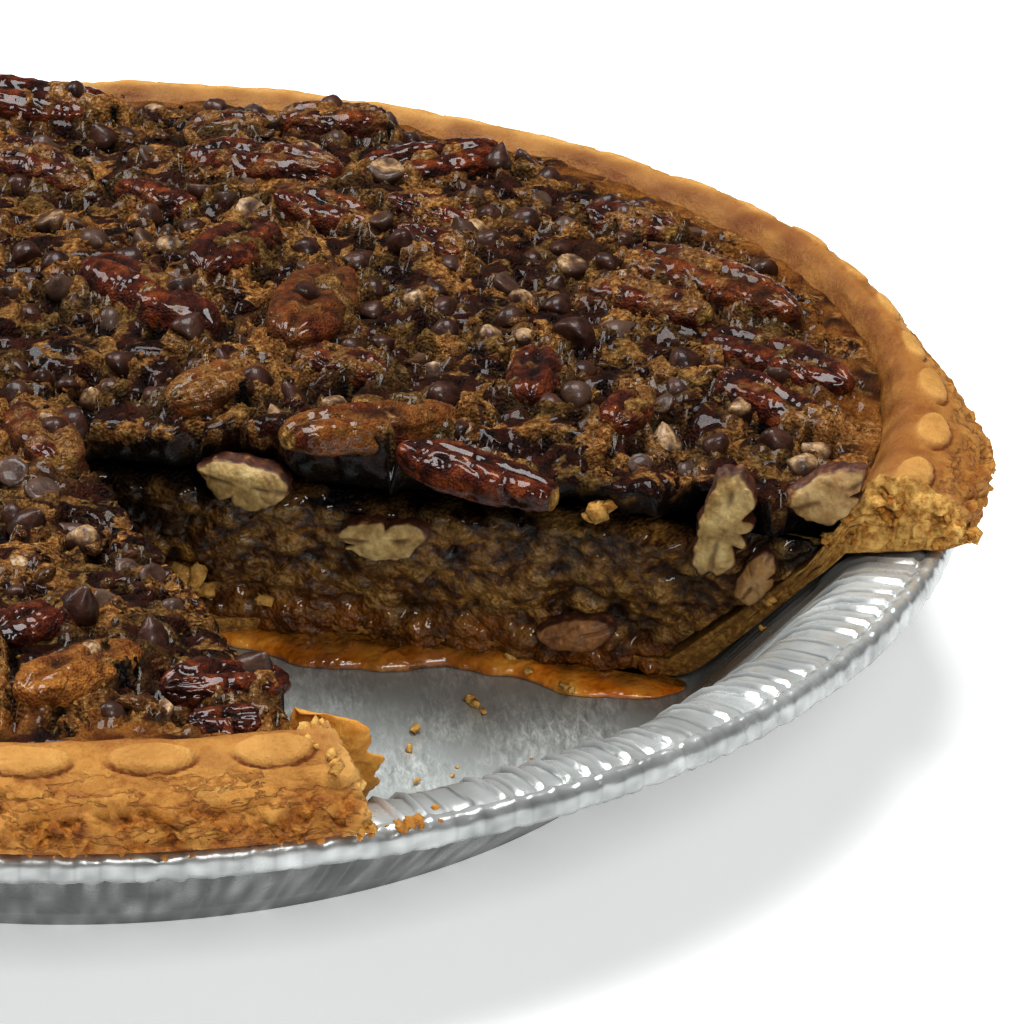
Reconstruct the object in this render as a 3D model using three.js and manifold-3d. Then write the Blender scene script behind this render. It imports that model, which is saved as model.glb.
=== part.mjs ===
// Pecan pie with chocolate chips, baked and sold in its own foil tin, with one slice taken out.
// Millimetres, +Z up. The origin is the centre of the tin's underside, which rests on the table.
// Bearings are degrees counter-clockwise from +X. The missing slice opens towards -Y and +X.
//
// Pieces: foil_tin, crust, filling, topping (with its chocolate chips fused on), syrup,
// pecan_01.. on the top, and cut_pecan_1.. sliced through by the knife.

import * as THREE from 'three';
import { mergeVertices } from 'three/addons/utils/BufferGeometryUtils.js';
import Module from 'manifold-3d';

const wasm = await Module();
wasm.setup();

// ---------- driving dimensions ----------

const gap = 0.4; // between neighbouring pieces

// Points in brackets are [radius, height] or [x, y].
const tin = {
  rimRadius: 111, rimTop: 27.2, bead: 1.5, skirt: 23.6, foil: 0.8,
  floorRadius: 78.8, wallFoot: [80.6, 1.8], wallHead: [100.2, 25.6], flangeEnd: [107.6, 26.4],
  pleats: 46, pleatDepth: 0.45,
};

const pastry = {
  bed: 0.8, // off the tin's wall, clear of its pleats
  floorTop: 4.2, floorRadius: 76.5, wallTop: [95.6, 25.0], innerLip: [100.8, 34.4],
  crest: [103.6, 36.8], shoulder: [109.2, 35.4], brow: [112.8, 33.2], outerEdge: [114.4, 31.0],
  outerFoot: [113.8, 29.2], wander: 0.6, steps: 64,
};

// Round the back, between these bearings, the rim is pressed narrower and then lower than beside the
// cuts, and the top sinks towards it.
const rear = {
  narrows: [-12, 4], sinks: [-12, 64], to: [110, 170],
  keepRadius: 103, narrow: 0.5, keepHeight: 28.5, drop: 4.5, topDrop: 3.4, topFrom: 80,
};

const crimp = { count: 50, radius: 106.2, top: 35.4, tilt: 22, along: 4.8, across: 2.4, tall: 1.7 };

// The side crust that stayed standing past the near cut, with how far past it stands from foot to head.
const flap = { foot: 9, head: 33, past: [1.5, 4.2, 3, 6.4, 7.4, 6.2, 1.5], root: -5, thick: 2, inset: 0.4 };

const slice = {
  tip: [-4, -14], nearEnd: [30, -107], farEnd: [106.5, -43.5], reach: 140, bottom: 0.95, top: 60,
  lean: 11.5, leanFrom: 24, // the far cut leans back under this height, and this far in at the table
};

// How far each layer stands back from the two cuts, and how lumpy the knife left it.
const cuts = {
  crust: { near: 0, far: 0, relief: 0.9, lump: 5, seed: 3, rows: 7, steps: 18 },
  filling: { near: 1.6, far: 1.6, relief: 1.8, lump: 8, seed: 11, rows: 6, steps: 13 },
  crevice: { near: 5, far: 5, relief: 1.5, lump: 10, seed: 17, rows: 1, steps: 12, bottom: 25.6 },
  topping: { near: 1.8, far: -2.2, relief: 1.6, lump: 9, seed: 23, rows: 4, steps: 13 },
};

const top = { edge: 34.5, rise: 2.3, undulation: 0.7, lump: 15, sag: 2.2, sagWidth: 13 };
const seat = { edge: 27.2, rise: 2.0 }; // where the topping lies on the filling
const fit = 0.85; // from the filling and the topping to the pastry's inner face, whose facets differ

const nut = { sink: 2.1, heightPerWidth: 0.6, pitch: 7, roll: 11 };
const chip = {
  radius: 2.6, height: 2.7, belly: 0.8, sink: 1.8, slots: 124, reach: 95, fromCut: 3, fromNut: 1,
};

// ---------- helpers ----------

const turn = THREE.MathUtils.degToRad;
const fract = (v) => v - Math.floor(v);
const hash = (i, j, k) => fract(Math.sin(i * 127.1 + j * 311.7 + k * 74.7) * 43758.5453);
const ease = (t) => t * t * (3 - 2 * t);
const mix = (a, b, t) => a + (b - a) * t;

// Smooth lumps, -1 to 1, one unit apart.
function lumps(x, y, z = 0) {
  const [i, j, k] = [Math.floor(x), Math.floor(y), Math.floor(z)];
  const [u, v, w] = [ease(x - i), ease(y - j), ease(z - k)];
  const edge = (b, c) => mix(hash(i, b, c), hash(i + 1, b, c), u);
  const face = (c) => mix(edge(j, c), edge(j + 1, c), v);
  return mix(face(k), face(k + 1), w) * 2 - 1;
}

// A seeded random draw, 0 to 1.
function seeded(seed) {
  let state = seed;
  return () => {
    state = (state * 1664525 + 1013904223) % 4294967296;
    return state / 4294967296;
  };
}

function toSolid(geometry) {
  const bare = geometry.clone();
  bare.deleteAttribute('normal');
  bare.deleteAttribute('uv');
  const merged = mergeVertices(bare, 1e-4);
  return new wasm.Manifold(new wasm.Mesh({
    numProp: 3,
    vertProperties: new Float32Array(merged.attributes.position.array),
    triVerts: new Uint32Array(merged.index.array),
  }));
}

function toGeometry(solid) {
  const mesh = solid.getMesh();
  const geometry = new THREE.BufferGeometry();
  geometry.setAttribute('position', new THREE.BufferAttribute(mesh.vertProperties, 3));
  geometry.setIndex(new THREE.BufferAttribute(mesh.triVerts, 1));
  geometry.computeVertexNormals();
  return geometry;
}

// The largest piece of a solid: a cut can leave loose scraps, which are dropped.
function largest(solid) {
  const parts = solid.decompose();
  return parts.sort((a, b) => b.volume() - a.volume())[0];
}

// Moves each vertex of a geometry to move(point), which changes the point in place.
function reshape(geometry, move) {
  const place = geometry.attributes.position;
  const point = new THREE.Vector3();
  for (let n = 0; n < place.count; n += 1) {
    move(point.fromBufferAttribute(place, n));
    place.setXYZ(n, point.x, point.y, point.z);
  }
  return geometry;
}

// A round body about Z. The profile runs from the axis at the bottom, out, up and back to the axis.
function turned(profile, steps, move = () => {}) {
  const points = profile.map(([r, z]) => new THREE.Vector2(r, z));
  return reshape(new THREE.LatheGeometry(points, steps).rotateX(Math.PI / 2), move);
}

const bearingOf = (p) => Math.atan2(p.y, p.x);

// 0 beside the cuts to 1 round the back, rising between the two given bearings.
function atRear(x, y, rises) {
  const bearing = ((THREE.MathUtils.radToDeg(Math.atan2(y, x)) + 450) % 360) - 90;
  const into = THREE.MathUtils.smoothstep(bearing, ...rises);
  return into * (1 - THREE.MathUtils.smoothstep(bearing, ...rear.to));
}

// Radius and height, once it is pressed, of a point of the rim that lies towards x, y.
function pressed(r, z, x, y) {
  const radius = r - rear.narrow * atRear(x, y, rear.narrows) * Math.max(0, r - rear.keepRadius);
  const lift = Math.max(0, z - rear.keepHeight) / (pastry.crest[1] - rear.keepHeight);
  return [radius, z - rear.drop * atRear(x, y, rear.sinks) * lift];
}

// ---------- the missing slice ----------

const tip = new THREE.Vector2(...slice.tip);
const nearAlong = new THREE.Vector2(...slice.nearEnd).sub(tip).normalize();
const farAlong = new THREE.Vector2(...slice.farEnd).sub(tip).normalize();
const nearOut = new THREE.Vector2(nearAlong.y, -nearAlong.x); // away from the gap, into the pie
const farOut = new THREE.Vector2(-farAlong.y, farAlong.x);

// How far the far cut leans back into the pie at height z.
const leanAt = (z) => slice.lean * Math.max(0, 1 - z / slice.leanFrom);

// How far a point of the pie lies behind the nearer cut; negative inside the gap.
function behindCut(x, y) {
  const from = new THREE.Vector2(x, y).sub(tip);
  return Math.max(from.dot(nearOut), from.dot(farOut));
}

// The knife's tool: a wedge whose two sides have lumps, moved into the pie by near and far.
function sliceTool({ near, far, relief, lump, seed, rows, steps, bottom = slice.bottom }) {
  const apart = farOut.clone().multiplyScalar(far).addScaledVector(nearOut, -near);
  const point = tip.clone().addScaledVector(nearOut, near)
    .addScaledVector(nearAlong, apart.cross(farAlong) / nearAlong.cross(farAlong));
  const middle = nearAlong.clone().add(farAlong).normalize();
  const path = [];
  for (let n = steps; n > 0; n -= 1) path.push([nearAlong, nearOut, (n / steps) * slice.reach]);
  for (let n = 0; n <= steps; n += 1) path.push([farAlong, farOut, (n / steps) * slice.reach]);
  const vertices = [];
  for (let row = 0; row <= rows; row += 1) {
    const z = mix(bottom, slice.top, row / rows);
    path.forEach(([along, out, s]) => {
      const p = point.clone().addScaledVector(along, s);
      const lean = out === farOut ? leanAt(z) : 0;
      const push = relief * lumps(p.x / lump + seed, p.y / lump, z / lump) + lean;
      p.addScaledVector(out, push * Math.min(1, s / lump));
      vertices.push(p.x, p.y, z);
    });
  }
  const middlePoint = point.clone().addScaledVector(middle, slice.reach / 2);
  vertices.push(middlePoint.x, middlePoint.y, bottom);
  vertices.push(middlePoint.x, middlePoint.y, slice.top);
  const count = path.length;
  const [floorCentre, roofCentre] = [(rows + 1) * count, (rows + 1) * count + 1];
  const faces = [];
  for (let n = 0; n < count; n += 1) {
    const m = (n + 1) % count;
    for (let row = 0; row < rows; row += 1) {
      const [a, b] = [row * count + n, row * count + m];
      const [c, d] = [a + count, b + count];
      faces.push(a, c, b, b, c, d);
    }
    faces.push(floorCentre, n, m, roofCentre, rows * count + m, rows * count + n);
  }
  const geometry = new THREE.BufferGeometry();
  geometry.setAttribute('position', new THREE.Float32BufferAttribute(vertices, 3));
  geometry.setIndex(faces);
  return toSolid(geometry);
}

// ---------- foil tin ----------

function foilTin() {
  const [footR, footZ] = tin.wallFoot;
  const [headR, headZ] = tin.wallHead;
  const [endR, endZ] = tin.flangeEnd;
  const beadR = tin.rimRadius - tin.bead;
  const profile = [
    [0, 0], [tin.floorRadius, 0],
    [footR + tin.foil, footZ - tin.foil / 2], [headR + tin.foil * 1.5, headZ - tin.foil],
    [endR, endZ - tin.foil],
    [beadR - tin.bead / 2, tin.skirt], [tin.rimRadius, tin.skirt + 0.3],
    [tin.rimRadius, tin.rimTop - tin.bead],
    [beadR + tin.bead / 3, tin.rimTop], [beadR - tin.bead, tin.rimTop - tin.bead / 3],
    tin.wallHead, tin.wallFoot,
    [tin.floorRadius, tin.foil], [0, tin.foil],
  ];
  // Pleats press the wall and the flange in and out; the floor and the rolled rim stay true.
  const uphill = new THREE.Vector2(headR - footR, headZ - footZ).normalize();
  return turned(profile, tin.pleats * 2, (p) => {
    const r = Math.hypot(p.x, p.y);
    if (r < tin.floorRadius + 1 || r > endR - 0.1) return;
    const shift = tin.pleatDepth * Math.cos(bearingOf(p) * tin.pleats);
    const scale = 1 + (shift * uphill.y) / r;
    p.set(p.x * scale, p.y * scale, p.z - shift * uphill.x);
  });
}

// ---------- pastry ----------

// Radius of the pastry's inner face at height z, which the filling and topping meet.
function pastryInside(z) {
  const [wallR, wallZ] = pastry.wallTop;
  const [lipR, lipZ] = pastry.innerLip;
  if (z <= wallZ) return mix(pastry.floorRadius, wallR, (z - pastry.floorTop) / (wallZ - pastry.floorTop));
  return mix(wallR, lipR, Math.min(1, (z - wallZ) / (lipZ - wallZ)));
}

// One pinch of the rim: a small pillow that lies round the rim and leans with its slope.
function crimpPillow(bearing) {
  const ball = new THREE.SphereGeometry(1, 6, 3);
  const [r, z] = pressed(crimp.radius, crimp.top, Math.cos(bearing), Math.sin(bearing));
  const place = new THREE.Matrix4().makeRotationZ(bearing)
    .multiply(new THREE.Matrix4().makeTranslation(r, 0, z))
    .multiply(new THREE.Matrix4().makeRotationY(turn(crimp.tilt)))
    .multiply(new THREE.Matrix4().makeScale(crimp.across, crimp.along, crimp.tall));
  return toSolid(ball.applyMatrix4(place));
}

function pastryFlap() {
  const rows = flap.past.length - 1;
  const sheet = new THREE.BoxGeometry(1, 1, 1, 2, rows, 1).translate(0.5, 0.5, 0.5);
  const bearing = Math.atan2(slice.nearEnd[1], slice.nearEnd[0]);
  return toSolid(reshape(sheet, (p) => {
    const z = mix(flap.foot, flap.head, p.y);
    const r = pastryInside(z) + flap.inset + flap.thick * p.z;
    const angle = bearing + mix(flap.root, flap.past[Math.round(p.y * rows)], p.x) / r;
    p.set(r * Math.cos(angle), r * Math.sin(angle), z);
  }));
}

function crust() {
  const profile = [
    [0, tin.foil + gap], [tin.floorRadius - pastry.bed * 2, tin.foil + gap],
    [tin.wallFoot[0] - pastry.bed, tin.wallFoot[1] + pastry.bed],
    [tin.wallHead[0] - pastry.bed, tin.wallHead[1] + pastry.bed],
    [tin.rimRadius + 0.6, tin.rimTop + gap + 0.2],
    pastry.outerFoot, pastry.outerEdge, pastry.brow, pastry.shoulder, pastry.crest,
    pastry.innerLip, pastry.wallTop, [pastry.floorRadius, pastry.floorTop], [0, pastry.floorTop],
  ];
  // The hand-crimped rim wanders in and out, most at its outer edge, and up and down.
  const shell = turned(profile, pastry.steps, (p) => {
    const r = Math.hypot(p.x, p.y);
    if (r < pastry.innerLip[0] - 0.5) return;
    const bearing = bearingOf(p);
    const loose = r > pastry.innerLip[0] + 0.5 && p.z > pastry.outerFoot[1] - 0.1;
    const share = r > pastry.shoulder[0] ? 0.6 : 0.2;
    const out = share * pastry.wander * (Math.sin(bearing * 9 + 1) + 0.6 * Math.sin(bearing * 23));
    const up = 0.35 * Math.sin(bearing * 13 + 2) + 0.25 * Math.sin(bearing * 31);
    const [radius, z] = pressed(r + (loose ? out : 0), p.z + (loose ? up : 0), p.x, p.y);
    p.set((p.x * radius) / r, (p.y * radius) / r, z);
  });
  const pillows = [];
  for (let n = 0; n < crimp.count; n += 1) {
    const bearing = (n / crimp.count) * Math.PI * 2;
    const clear = behindCut(crimp.radius * Math.cos(bearing), crimp.radius * Math.sin(bearing));
    if (clear > crimp.across) pillows.push(crimpPillow(bearing));
  }
  const rim = wasm.Manifold.union([toSolid(shell), ...pillows]);
  return largest(rim.subtract(sliceTool(cuts.crust)).add(pastryFlap()));
}

// ---------- filling and topping ----------

// Height of the baked top, without its nuts and chips.
function topHeight(x, y) {
  const domed = top.rise * (1 - (x * x + y * y) / pastry.innerLip[0] ** 2);
  const sag = top.sag * Math.exp(-((Math.max(behindCut(x, y), 0) / top.sagWidth) ** 2));
  const sink = rear.topDrop * atRear(x, y, rear.sinks)
    * THREE.MathUtils.smoothstep(Math.hypot(x, y), rear.topFrom, pastry.innerLip[0]);
  return top.edge + domed - sag - sink + top.undulation * lumps(x / top.lump, y / top.lump, 5);
}

function filling(sockets) {
  const foot = pastry.floorTop + gap;
  const profile = [[0, foot]];
  [foot, pastry.wallTop[1] - gap, seat.edge - gap].forEach((z) => profile.push([pastryInside(z) - fit, z]));
  profile.push([0, seat.edge + seat.rise - gap]);
  const body = toSolid(turned(profile, 40));
  const tools = [sliceTool(cuts.filling), sliceTool(cuts.crevice)];
  return largest(wasm.Manifold.difference([body, ...tools, ...sockets]));
}

function chocolateChip(x, y) {
  const size = mix(0.82, 1.12, hash(Math.round(x * 7), Math.round(y * 7), 1));
  const r = chip.radius * size;
  const profile = [[0, -chip.sink], [r, chip.belly], [r * 0.6, chip.height * 0.75], [0, chip.height]];
  const geometry = turned(profile, 5);
  geometry.translate(x, y, topHeight(x, y));
  return toSolid(geometry);
}

function topping(sockets, nuts) {
  const base = seat.edge;
  const profile = [[0, base + seat.rise]];
  [base, top.edge].forEach((z) => profile.push([pastryInside(z) - fit, z]));
  [0.8, 0.6, 0.4, 0.2, 0].forEach((share) => profile.push([share * pastry.innerLip[0], top.edge]));
  const body = turned(profile, 40, (p) => {
    if (p.z > base + seat.rise + 0.01) p.z = topHeight(p.x, p.y);
  });
  const bare = largest(wasm.Manifold.difference([toSolid(body), sliceTool(cuts.topping), ...sockets]));
  const chips = [];
  for (let n = 0; n < chip.slots; n += 1) {
    const r = chip.reach * Math.sqrt((n + 0.5) / chip.slots);
    const bearing = n * Math.PI * (3 - Math.sqrt(5));
    const [x, y] = [r * Math.cos(bearing), r * Math.sin(bearing)];
    const room = Math.min(...nuts.map((other) => distanceTo(other, x, y) - other.width / 2));
    const onSliced = slicedNuts.some((place) => (
      faceOf(place, slicedNut.depth / 2).distanceTo(new THREE.Vector2(x, y)) < slicedNut.keepOff));
    const clear = behindCut(x, y) > chip.radius + chip.fromCut && room > chip.radius + chip.fromNut;
    if (clear && !onSliced) chips.push(chocolateChip(x, y));
  }
  return wasm.Manifold.union([bare, ...chips]);
}

// ---------- pecans on the top ----------

// Pecans with places of their own: [x, y, heading, length, width, extra height].
const placed = [
  [-6, 83, 1, 26, 11, 1.2], [20.5, 79, 12, 12, 7, 0.4], [36, 80.5, 4, 17, 9, 1.4], [25, 61, 161, 23, 10, 0],
  [10, 50, 130, 15, 8, 0], [48.5, 64.5, 15, 24, 10, 0], [33, 45, 145, 18, 9, 0], [29, 12, 73, 26, 11, 0],
  [8, 14, 129, 25, 11, 0], [46, 33, 135, 13, 7, 0], [47, 46, 158, 14, 7, 0], [82, 19, 129, 31, 9.5, 0.8],
  [73, 13.5, 137, 20, 8, 0.4], [87.5, -4, 131, 24, 9, 0.2], [85, -16, 131, 19, 8.5, 0], [74, 45, 143, 15, 8, 0],
  [34, -23, 26, 25, 10, 0.8], [17, -10, 37, 16, 9, 0.4], [47, -32, 153, 22, 9, 0.2], [32, -5, 140, 14, 8, 0],
  [56, -8, 80, 15, 8, 0], [67, -17, 60, 12, 7, 0.3], [-1, -87, 49, 19, 8.5, 0.6], [15, -84.5, 16, 15, 8, 0.6],
  [15, -92.5, 7, 9, 6, 0.3], [-5, -74, 39, 15, 8, 0], [-17, -85, 41, 14, 7.5, 0], [-5, -24, 104, 19, 9, 0.4],
];
const scattered = {
  wanted: 18, tries: 6000, seed: 20, lengths: [17, 28], reach: 92, room: 1.2, rim: 97,
  width: [4, 0.32], // at no length, and for each millimetre of it
};

// Distance of a point from a pecan's core line.
function distanceTo(pecan, x, y) {
  const [dx, dy] = [x - pecan.x, y - pecan.y];
  const core = (pecan.length - pecan.width) / 2;
  const s = THREE.MathUtils.clamp(dx * Math.cos(pecan.heading) + dy * Math.sin(pecan.heading), -core, core);
  return Math.hypot(dx - s * Math.cos(pecan.heading), dy - s * Math.sin(pecan.heading));
}

// Points along a pecan's core line, end to end.
function corePoints(pecan) {
  const core = (pecan.length - pecan.width) / 2;
  return [-1, -0.5, 0, 0.5, 1].map((t) => [
    pecan.x + t * core * Math.cos(pecan.heading), pecan.y + t * core * Math.sin(pecan.heading),
  ]);
}

function pecanPlaces() {
  const draw = seeded(scattered.seed);
  const pecans = placed.map(([x, y, heading, length, width, lift]) => (
    { x, y, heading: turn(heading), length, width, lift }));
  for (let n = 0; n < scattered.tries && pecans.length < placed.length + scattered.wanted; n += 1) {
    const out = scattered.reach * Math.sqrt(draw());
    const bearing = draw() * Math.PI * 2;
    const length = mix(...scattered.lengths, draw());
    const width = scattered.width[0] + scattered.width[1] * length;
    const pecan = {
      x: out * Math.cos(bearing), y: out * Math.sin(bearing),
      heading: draw() * Math.PI, length, width, lift: draw() * 0.8,
    };
    const ends = corePoints(pecan);
    const inside = ends.every(([x, y]) => (
      Math.hypot(x, y) + width / 2 < scattered.rim && behindCut(x, y) > 6));
    const clear = pecans.every((other) => ends.every(([x, y]) => (
      distanceTo(other, x, y) > (other.width + pecan.width) / 2 + scattered.room)));
    if (inside && clear) pecans.push(pecan);
  }
  return pecans;
}

const stations = [-0.64, 0.02, 0.66]; // along a pecan, as shares of its half length
const bluntness = (t) => (1 - Math.abs(t) ** 2.6) ** 0.5 * (1 - 0.08 * t);

// A pecan half, flat side down: two crowned lobes with a groove between them, narrowing to the ends.
function pecanGeometry({ length, width }, seed) {
  const section = [
    [-0.8, -0.1], [-1, 0.3], [-0.5, 0.96], [0, 0.72], [0.5, 1], [1, 0.32], [0.78, -0.08], [0, 0.04],
  ];
  const height = width * nut.heightPerWidth;
  const vertices = [];
  stations.forEach((t, row) => {
    section.forEach(([across, up], column) => {
      const wrinkle = 1 - 0.1 * hash(seed, row, column);
      const size = bluntness(t);
      const thick = height * mix(0.35, 1, size);
      vertices.push(t * length / 2, across * width / 2 * size * wrinkle, up * thick * wrinkle);
    });
  });
  vertices.push(-length / 2, 0, height * 0.3, length / 2, 0, height * 0.3);
  const n = section.length;
  const last = (stations.length - 1) * n;
  const [tail, nose] = [stations.length * n, stations.length * n + 1];
  const faces = [];
  for (let c = 0; c < n; c += 1) {
    const d = (c + 1) % n;
    for (let row = 0; row < stations.length - 1; row += 1) {
      const [a, b] = [row * n + c, row * n + d];
      faces.push(a, a + n, b, b, a + n, b + n);
    }
    faces.push(tail, c, d, nose, last + d, last + c);
  }
  const geometry = new THREE.BufferGeometry();
  geometry.setAttribute('position', new THREE.Float32BufferAttribute(vertices, 3));
  geometry.setIndex(faces);
  geometry.computeVertexNormals();
  return geometry;
}

// The socket that a pecan lies in: a hexagon round its outline, a gap wider all round.
function socketGeometry({ length, width }) {
  const height = width * nut.heightPerWidth;
  const [reach, side, shoulder] = [length / 2 + gap * 1.5, width / 2 + gap, length * 0.34];
  const outline = [
    [-reach, 0], [-shoulder, -side], [shoulder, -side], [reach, 0], [shoulder, side], [-shoulder, side],
  ];
  const shape = new THREE.Shape(outline.map(([x, y]) => new THREE.Vector2(x, y)));
  const prism = new THREE.ExtrudeGeometry(shape, { depth: height * 1.6, bevelEnabled: false, steps: 1 });
  return prism.translate(0, 0, -height * 0.1 - gap);
}

// Where a pecan lies: its heading, a slight pitch and roll, and its height in the baked top.
function pecanMatrix(pecan, seed) {
  const pitch = turn(nut.pitch) * (hash(seed, 1, 9) * 2 - 1);
  const roll = turn(nut.roll) * (hash(seed, 2, 9) * 2 - 1);
  const z = topHeight(pecan.x, pecan.y) - nut.sink + pecan.lift;
  return new THREE.Matrix4().makeTranslation(pecan.x, pecan.y, z)
    .multiply(new THREE.Matrix4().makeRotationZ(pecan.heading))
    .multiply(new THREE.Matrix4().makeRotationY(pitch))
    .multiply(new THREE.Matrix4().makeRotationX(roll));
}

// ---------- pecans that the knife went through ----------

// side, distance along the cut from its tip, height, half length, half height, lean, lobes
const slicedNuts = [
  { side: 'far', s: 24.5, z: 26.5, long: 6.0, tall: 3.2, lean: -8, lobes: 2 },
  { side: 'far', s: 41.5, z: 19.5, long: 5.8, tall: 2.9, lean: 12, lobes: 2 },
  { side: 'far', s: 81, z: 27.5, long: 7.4, tall: 3.0, lean: 80, lobes: 4 },
  { side: 'far', s: 87.2, z: 20.7, long: 4, tall: 2, lean: 62, lobes: 2 },
  { side: 'far', s: 94, z: 32.6, long: 4.8, tall: 2.8, lean: 10, lobes: 2 },
  { side: 'far', s: 65, z: 8, long: 4.8, tall: 2.3, lean: 14, lobes: 2 },
  { side: 'near', s: 34, z: 23.5, long: 5.6, tall: 3.0, lean: 20, lobes: 2 },
  { side: 'near', s: 62, z: 15, long: 6.2, tall: 2.8, lean: -15, lobes: 3 },
];
const slicedNut = { depth: 7, proud: 0.9, keepOff: 9 }; // into the pie, out of the cut, and round it

// The point at a sliced nut's place along its cut, and a depth behind the cut.
function faceOf({ side, s, z }, depth) {
  const [along, out, lean] = side === 'far' ? [farAlong, farOut, leanAt(z)] : [nearAlong, nearOut, 0];
  return tip.clone().addScaledVector(along, s).addScaledVector(out, lean + depth);
}

// swell makes it larger all round, and beyond longer into the gap, for the socket that it lies in.
function slicedNutGeometry({ long, tall, lobes }, swell = 0, beyond = 0) {
  const shape = new THREE.Shape();
  const count = 12;
  const outline = [];
  for (let n = 0; n < count; n += 1) {
    const a = ((n + 0.5) / count) * Math.PI * 2;
    const notch = Math.sin(a) < 0 ? 0.24 * Math.cos(a * lobes) ** 2 : 0;
    outline.push(new THREE.Vector2(
      Math.cos(a) * (long + swell),
      Math.sin(a) * (tall * (1 - notch) + swell) + 0.06 * long * Math.cos(a * 2),
    ));
  }
  shape.setFromPoints(outline);
  const depth = slicedNut.depth + slicedNut.proud + swell + beyond;
  const plug = new THREE.ExtrudeGeometry(shape, { depth, bevelEnabled: false, steps: 1 });
  return plug.translate(0, 0, -swell);
}

// Where a sliced nut lies: its back is deep in the pie, and it runs straight out of the cut.
function slicedNutMatrix(place) {
  const along = place.side === 'far' ? farAlong : nearAlong.clone().negate();
  const across = new THREE.Vector3(along.x, along.y, 0);
  const up = new THREE.Vector3(0, 0, 1);
  const back = faceOf(place, slicedNut.depth);
  const matrix = new THREE.Matrix4().makeBasis(across, up, new THREE.Vector3().crossVectors(across, up));
  matrix.setPosition(back.x, back.y, place.z);
  return matrix.multiply(new THREE.Matrix4().makeRotationZ(turn(place.lean)));
}

// ---------- syrup that ran out along the foot of the far cut ----------

function syrup() {
  const pool = {
    from: 9, to: 77, clear: 1.7, wide: 2.8, bulge: 2, least: 0.3, top: 2.4, wave: 0.76, start: -3.05,
  };
  const count = 16;
  const back = [];
  const front = [];
  for (let n = 0; n <= count; n += 1) {
    const s = mix(pool.from, pool.to, n / count);
    const taper = Math.sin((n / count) * Math.PI) ** 0.4;
    const reach = (pool.wide + pool.bulge * Math.sin(n * pool.wave + pool.start)) * taper + pool.least;
    const foot = leanAt(pool.top);
    const edge = (out) => tip.clone().addScaledVector(farAlong, s).addScaledVector(farOut, foot - out);
    back.push(edge(pool.clear));
    front.push(edge(pool.clear + reach));
  }
  const shape = new THREE.Shape([...back, ...front.reverse()]);
  const height = pool.top - tin.foil - gap;
  const sheet = new THREE.ExtrudeGeometry(shape, { depth: height, bevelEnabled: false, steps: 1 });
  return sheet.translate(0, 0, tin.foil + gap);
}

// ---------- assembly ----------

const finish = {
  foil: new THREE.MeshStandardMaterial({ color: 0xb9bec2, roughness: 0.32, metalness: 1 }),
  crust: new THREE.MeshStandardMaterial({ color: 0xc08a45, roughness: 0.8, metalness: 0 }),
  filling: new THREE.MeshStandardMaterial({ color: 0x3a2412, roughness: 0.35, metalness: 0 }),
  topping: new THREE.MeshStandardMaterial({ color: 0x5a3a1e, roughness: 0.6, metalness: 0 }),
  syrup: new THREE.MeshStandardMaterial({ color: 0x8a4a0c, roughness: 0.08, metalness: 0 }),
  pecan: new THREE.MeshStandardMaterial({ color: 0x4f1f12, roughness: 0.4, metalness: 0 }),
  cutNut: new THREE.MeshStandardMaterial({ color: 0xa98d55, roughness: 0.6, metalness: 0 }),
};

const pie = new THREE.Group();

function addPiece(name, geometry, material, place = new THREE.Matrix4()) {
  const mesh = new THREE.Mesh(geometry, material);
  mesh.name = name;
  mesh.applyMatrix4(place);
  pie.add(mesh);
}

const pecans = pecanPlaces();
const pecanSockets = pecans.map((pecan, n) => (
  toSolid(socketGeometry(pecan).applyMatrix4(pecanMatrix(pecan, n)))));
const slicedSockets = slicedNuts.map((place) => (
  toSolid(slicedNutGeometry(place, gap, slicedNut.depth).applyMatrix4(slicedNutMatrix(place)))));

addPiece('foil_tin', foilTin(), finish.foil);
addPiece('crust', toGeometry(crust()), finish.crust);
addPiece('filling', toGeometry(filling(slicedSockets)), finish.filling);
addPiece('topping', toGeometry(topping([...slicedSockets, ...pecanSockets], pecans)), finish.topping);
addPiece('syrup', syrup(), finish.syrup);
pecans.forEach((pecan, n) => {
  const name = `pecan_${String(n + 1).padStart(2, '0')}`;
  addPiece(name, pecanGeometry(pecan, n), finish.pecan, pecanMatrix(pecan, n));
});
slicedNuts.forEach((place, n) => {
  addPiece(`cut_pecan_${n + 1}`, slicedNutGeometry(place), finish.cutNut, slicedNutMatrix(place));
});

export default pie;
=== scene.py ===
# Pecan pie with chocolate chips, in its own foil tin, with one slice taken out.
# Lengths are in millimetres until addPiece writes them as metres. The tin stands on z = 0, centred on the
# origin, and bearings run counter-clockwise from +X.

import math

import bmesh
import bpy
import numpy as np
from mathutils import Matrix, Vector


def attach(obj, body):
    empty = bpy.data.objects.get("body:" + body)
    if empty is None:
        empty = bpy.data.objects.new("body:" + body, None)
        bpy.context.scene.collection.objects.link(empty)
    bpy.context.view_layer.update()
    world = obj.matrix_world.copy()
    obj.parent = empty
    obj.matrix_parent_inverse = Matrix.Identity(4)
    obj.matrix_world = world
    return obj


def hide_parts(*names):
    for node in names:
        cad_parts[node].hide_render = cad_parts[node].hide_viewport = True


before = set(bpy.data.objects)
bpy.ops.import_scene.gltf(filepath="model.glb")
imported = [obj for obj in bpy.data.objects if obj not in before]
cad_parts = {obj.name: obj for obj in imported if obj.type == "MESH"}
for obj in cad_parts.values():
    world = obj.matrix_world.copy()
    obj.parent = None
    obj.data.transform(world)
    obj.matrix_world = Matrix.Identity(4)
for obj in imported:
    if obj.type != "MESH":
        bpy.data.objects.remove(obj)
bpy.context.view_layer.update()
mm = 0.001

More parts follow.
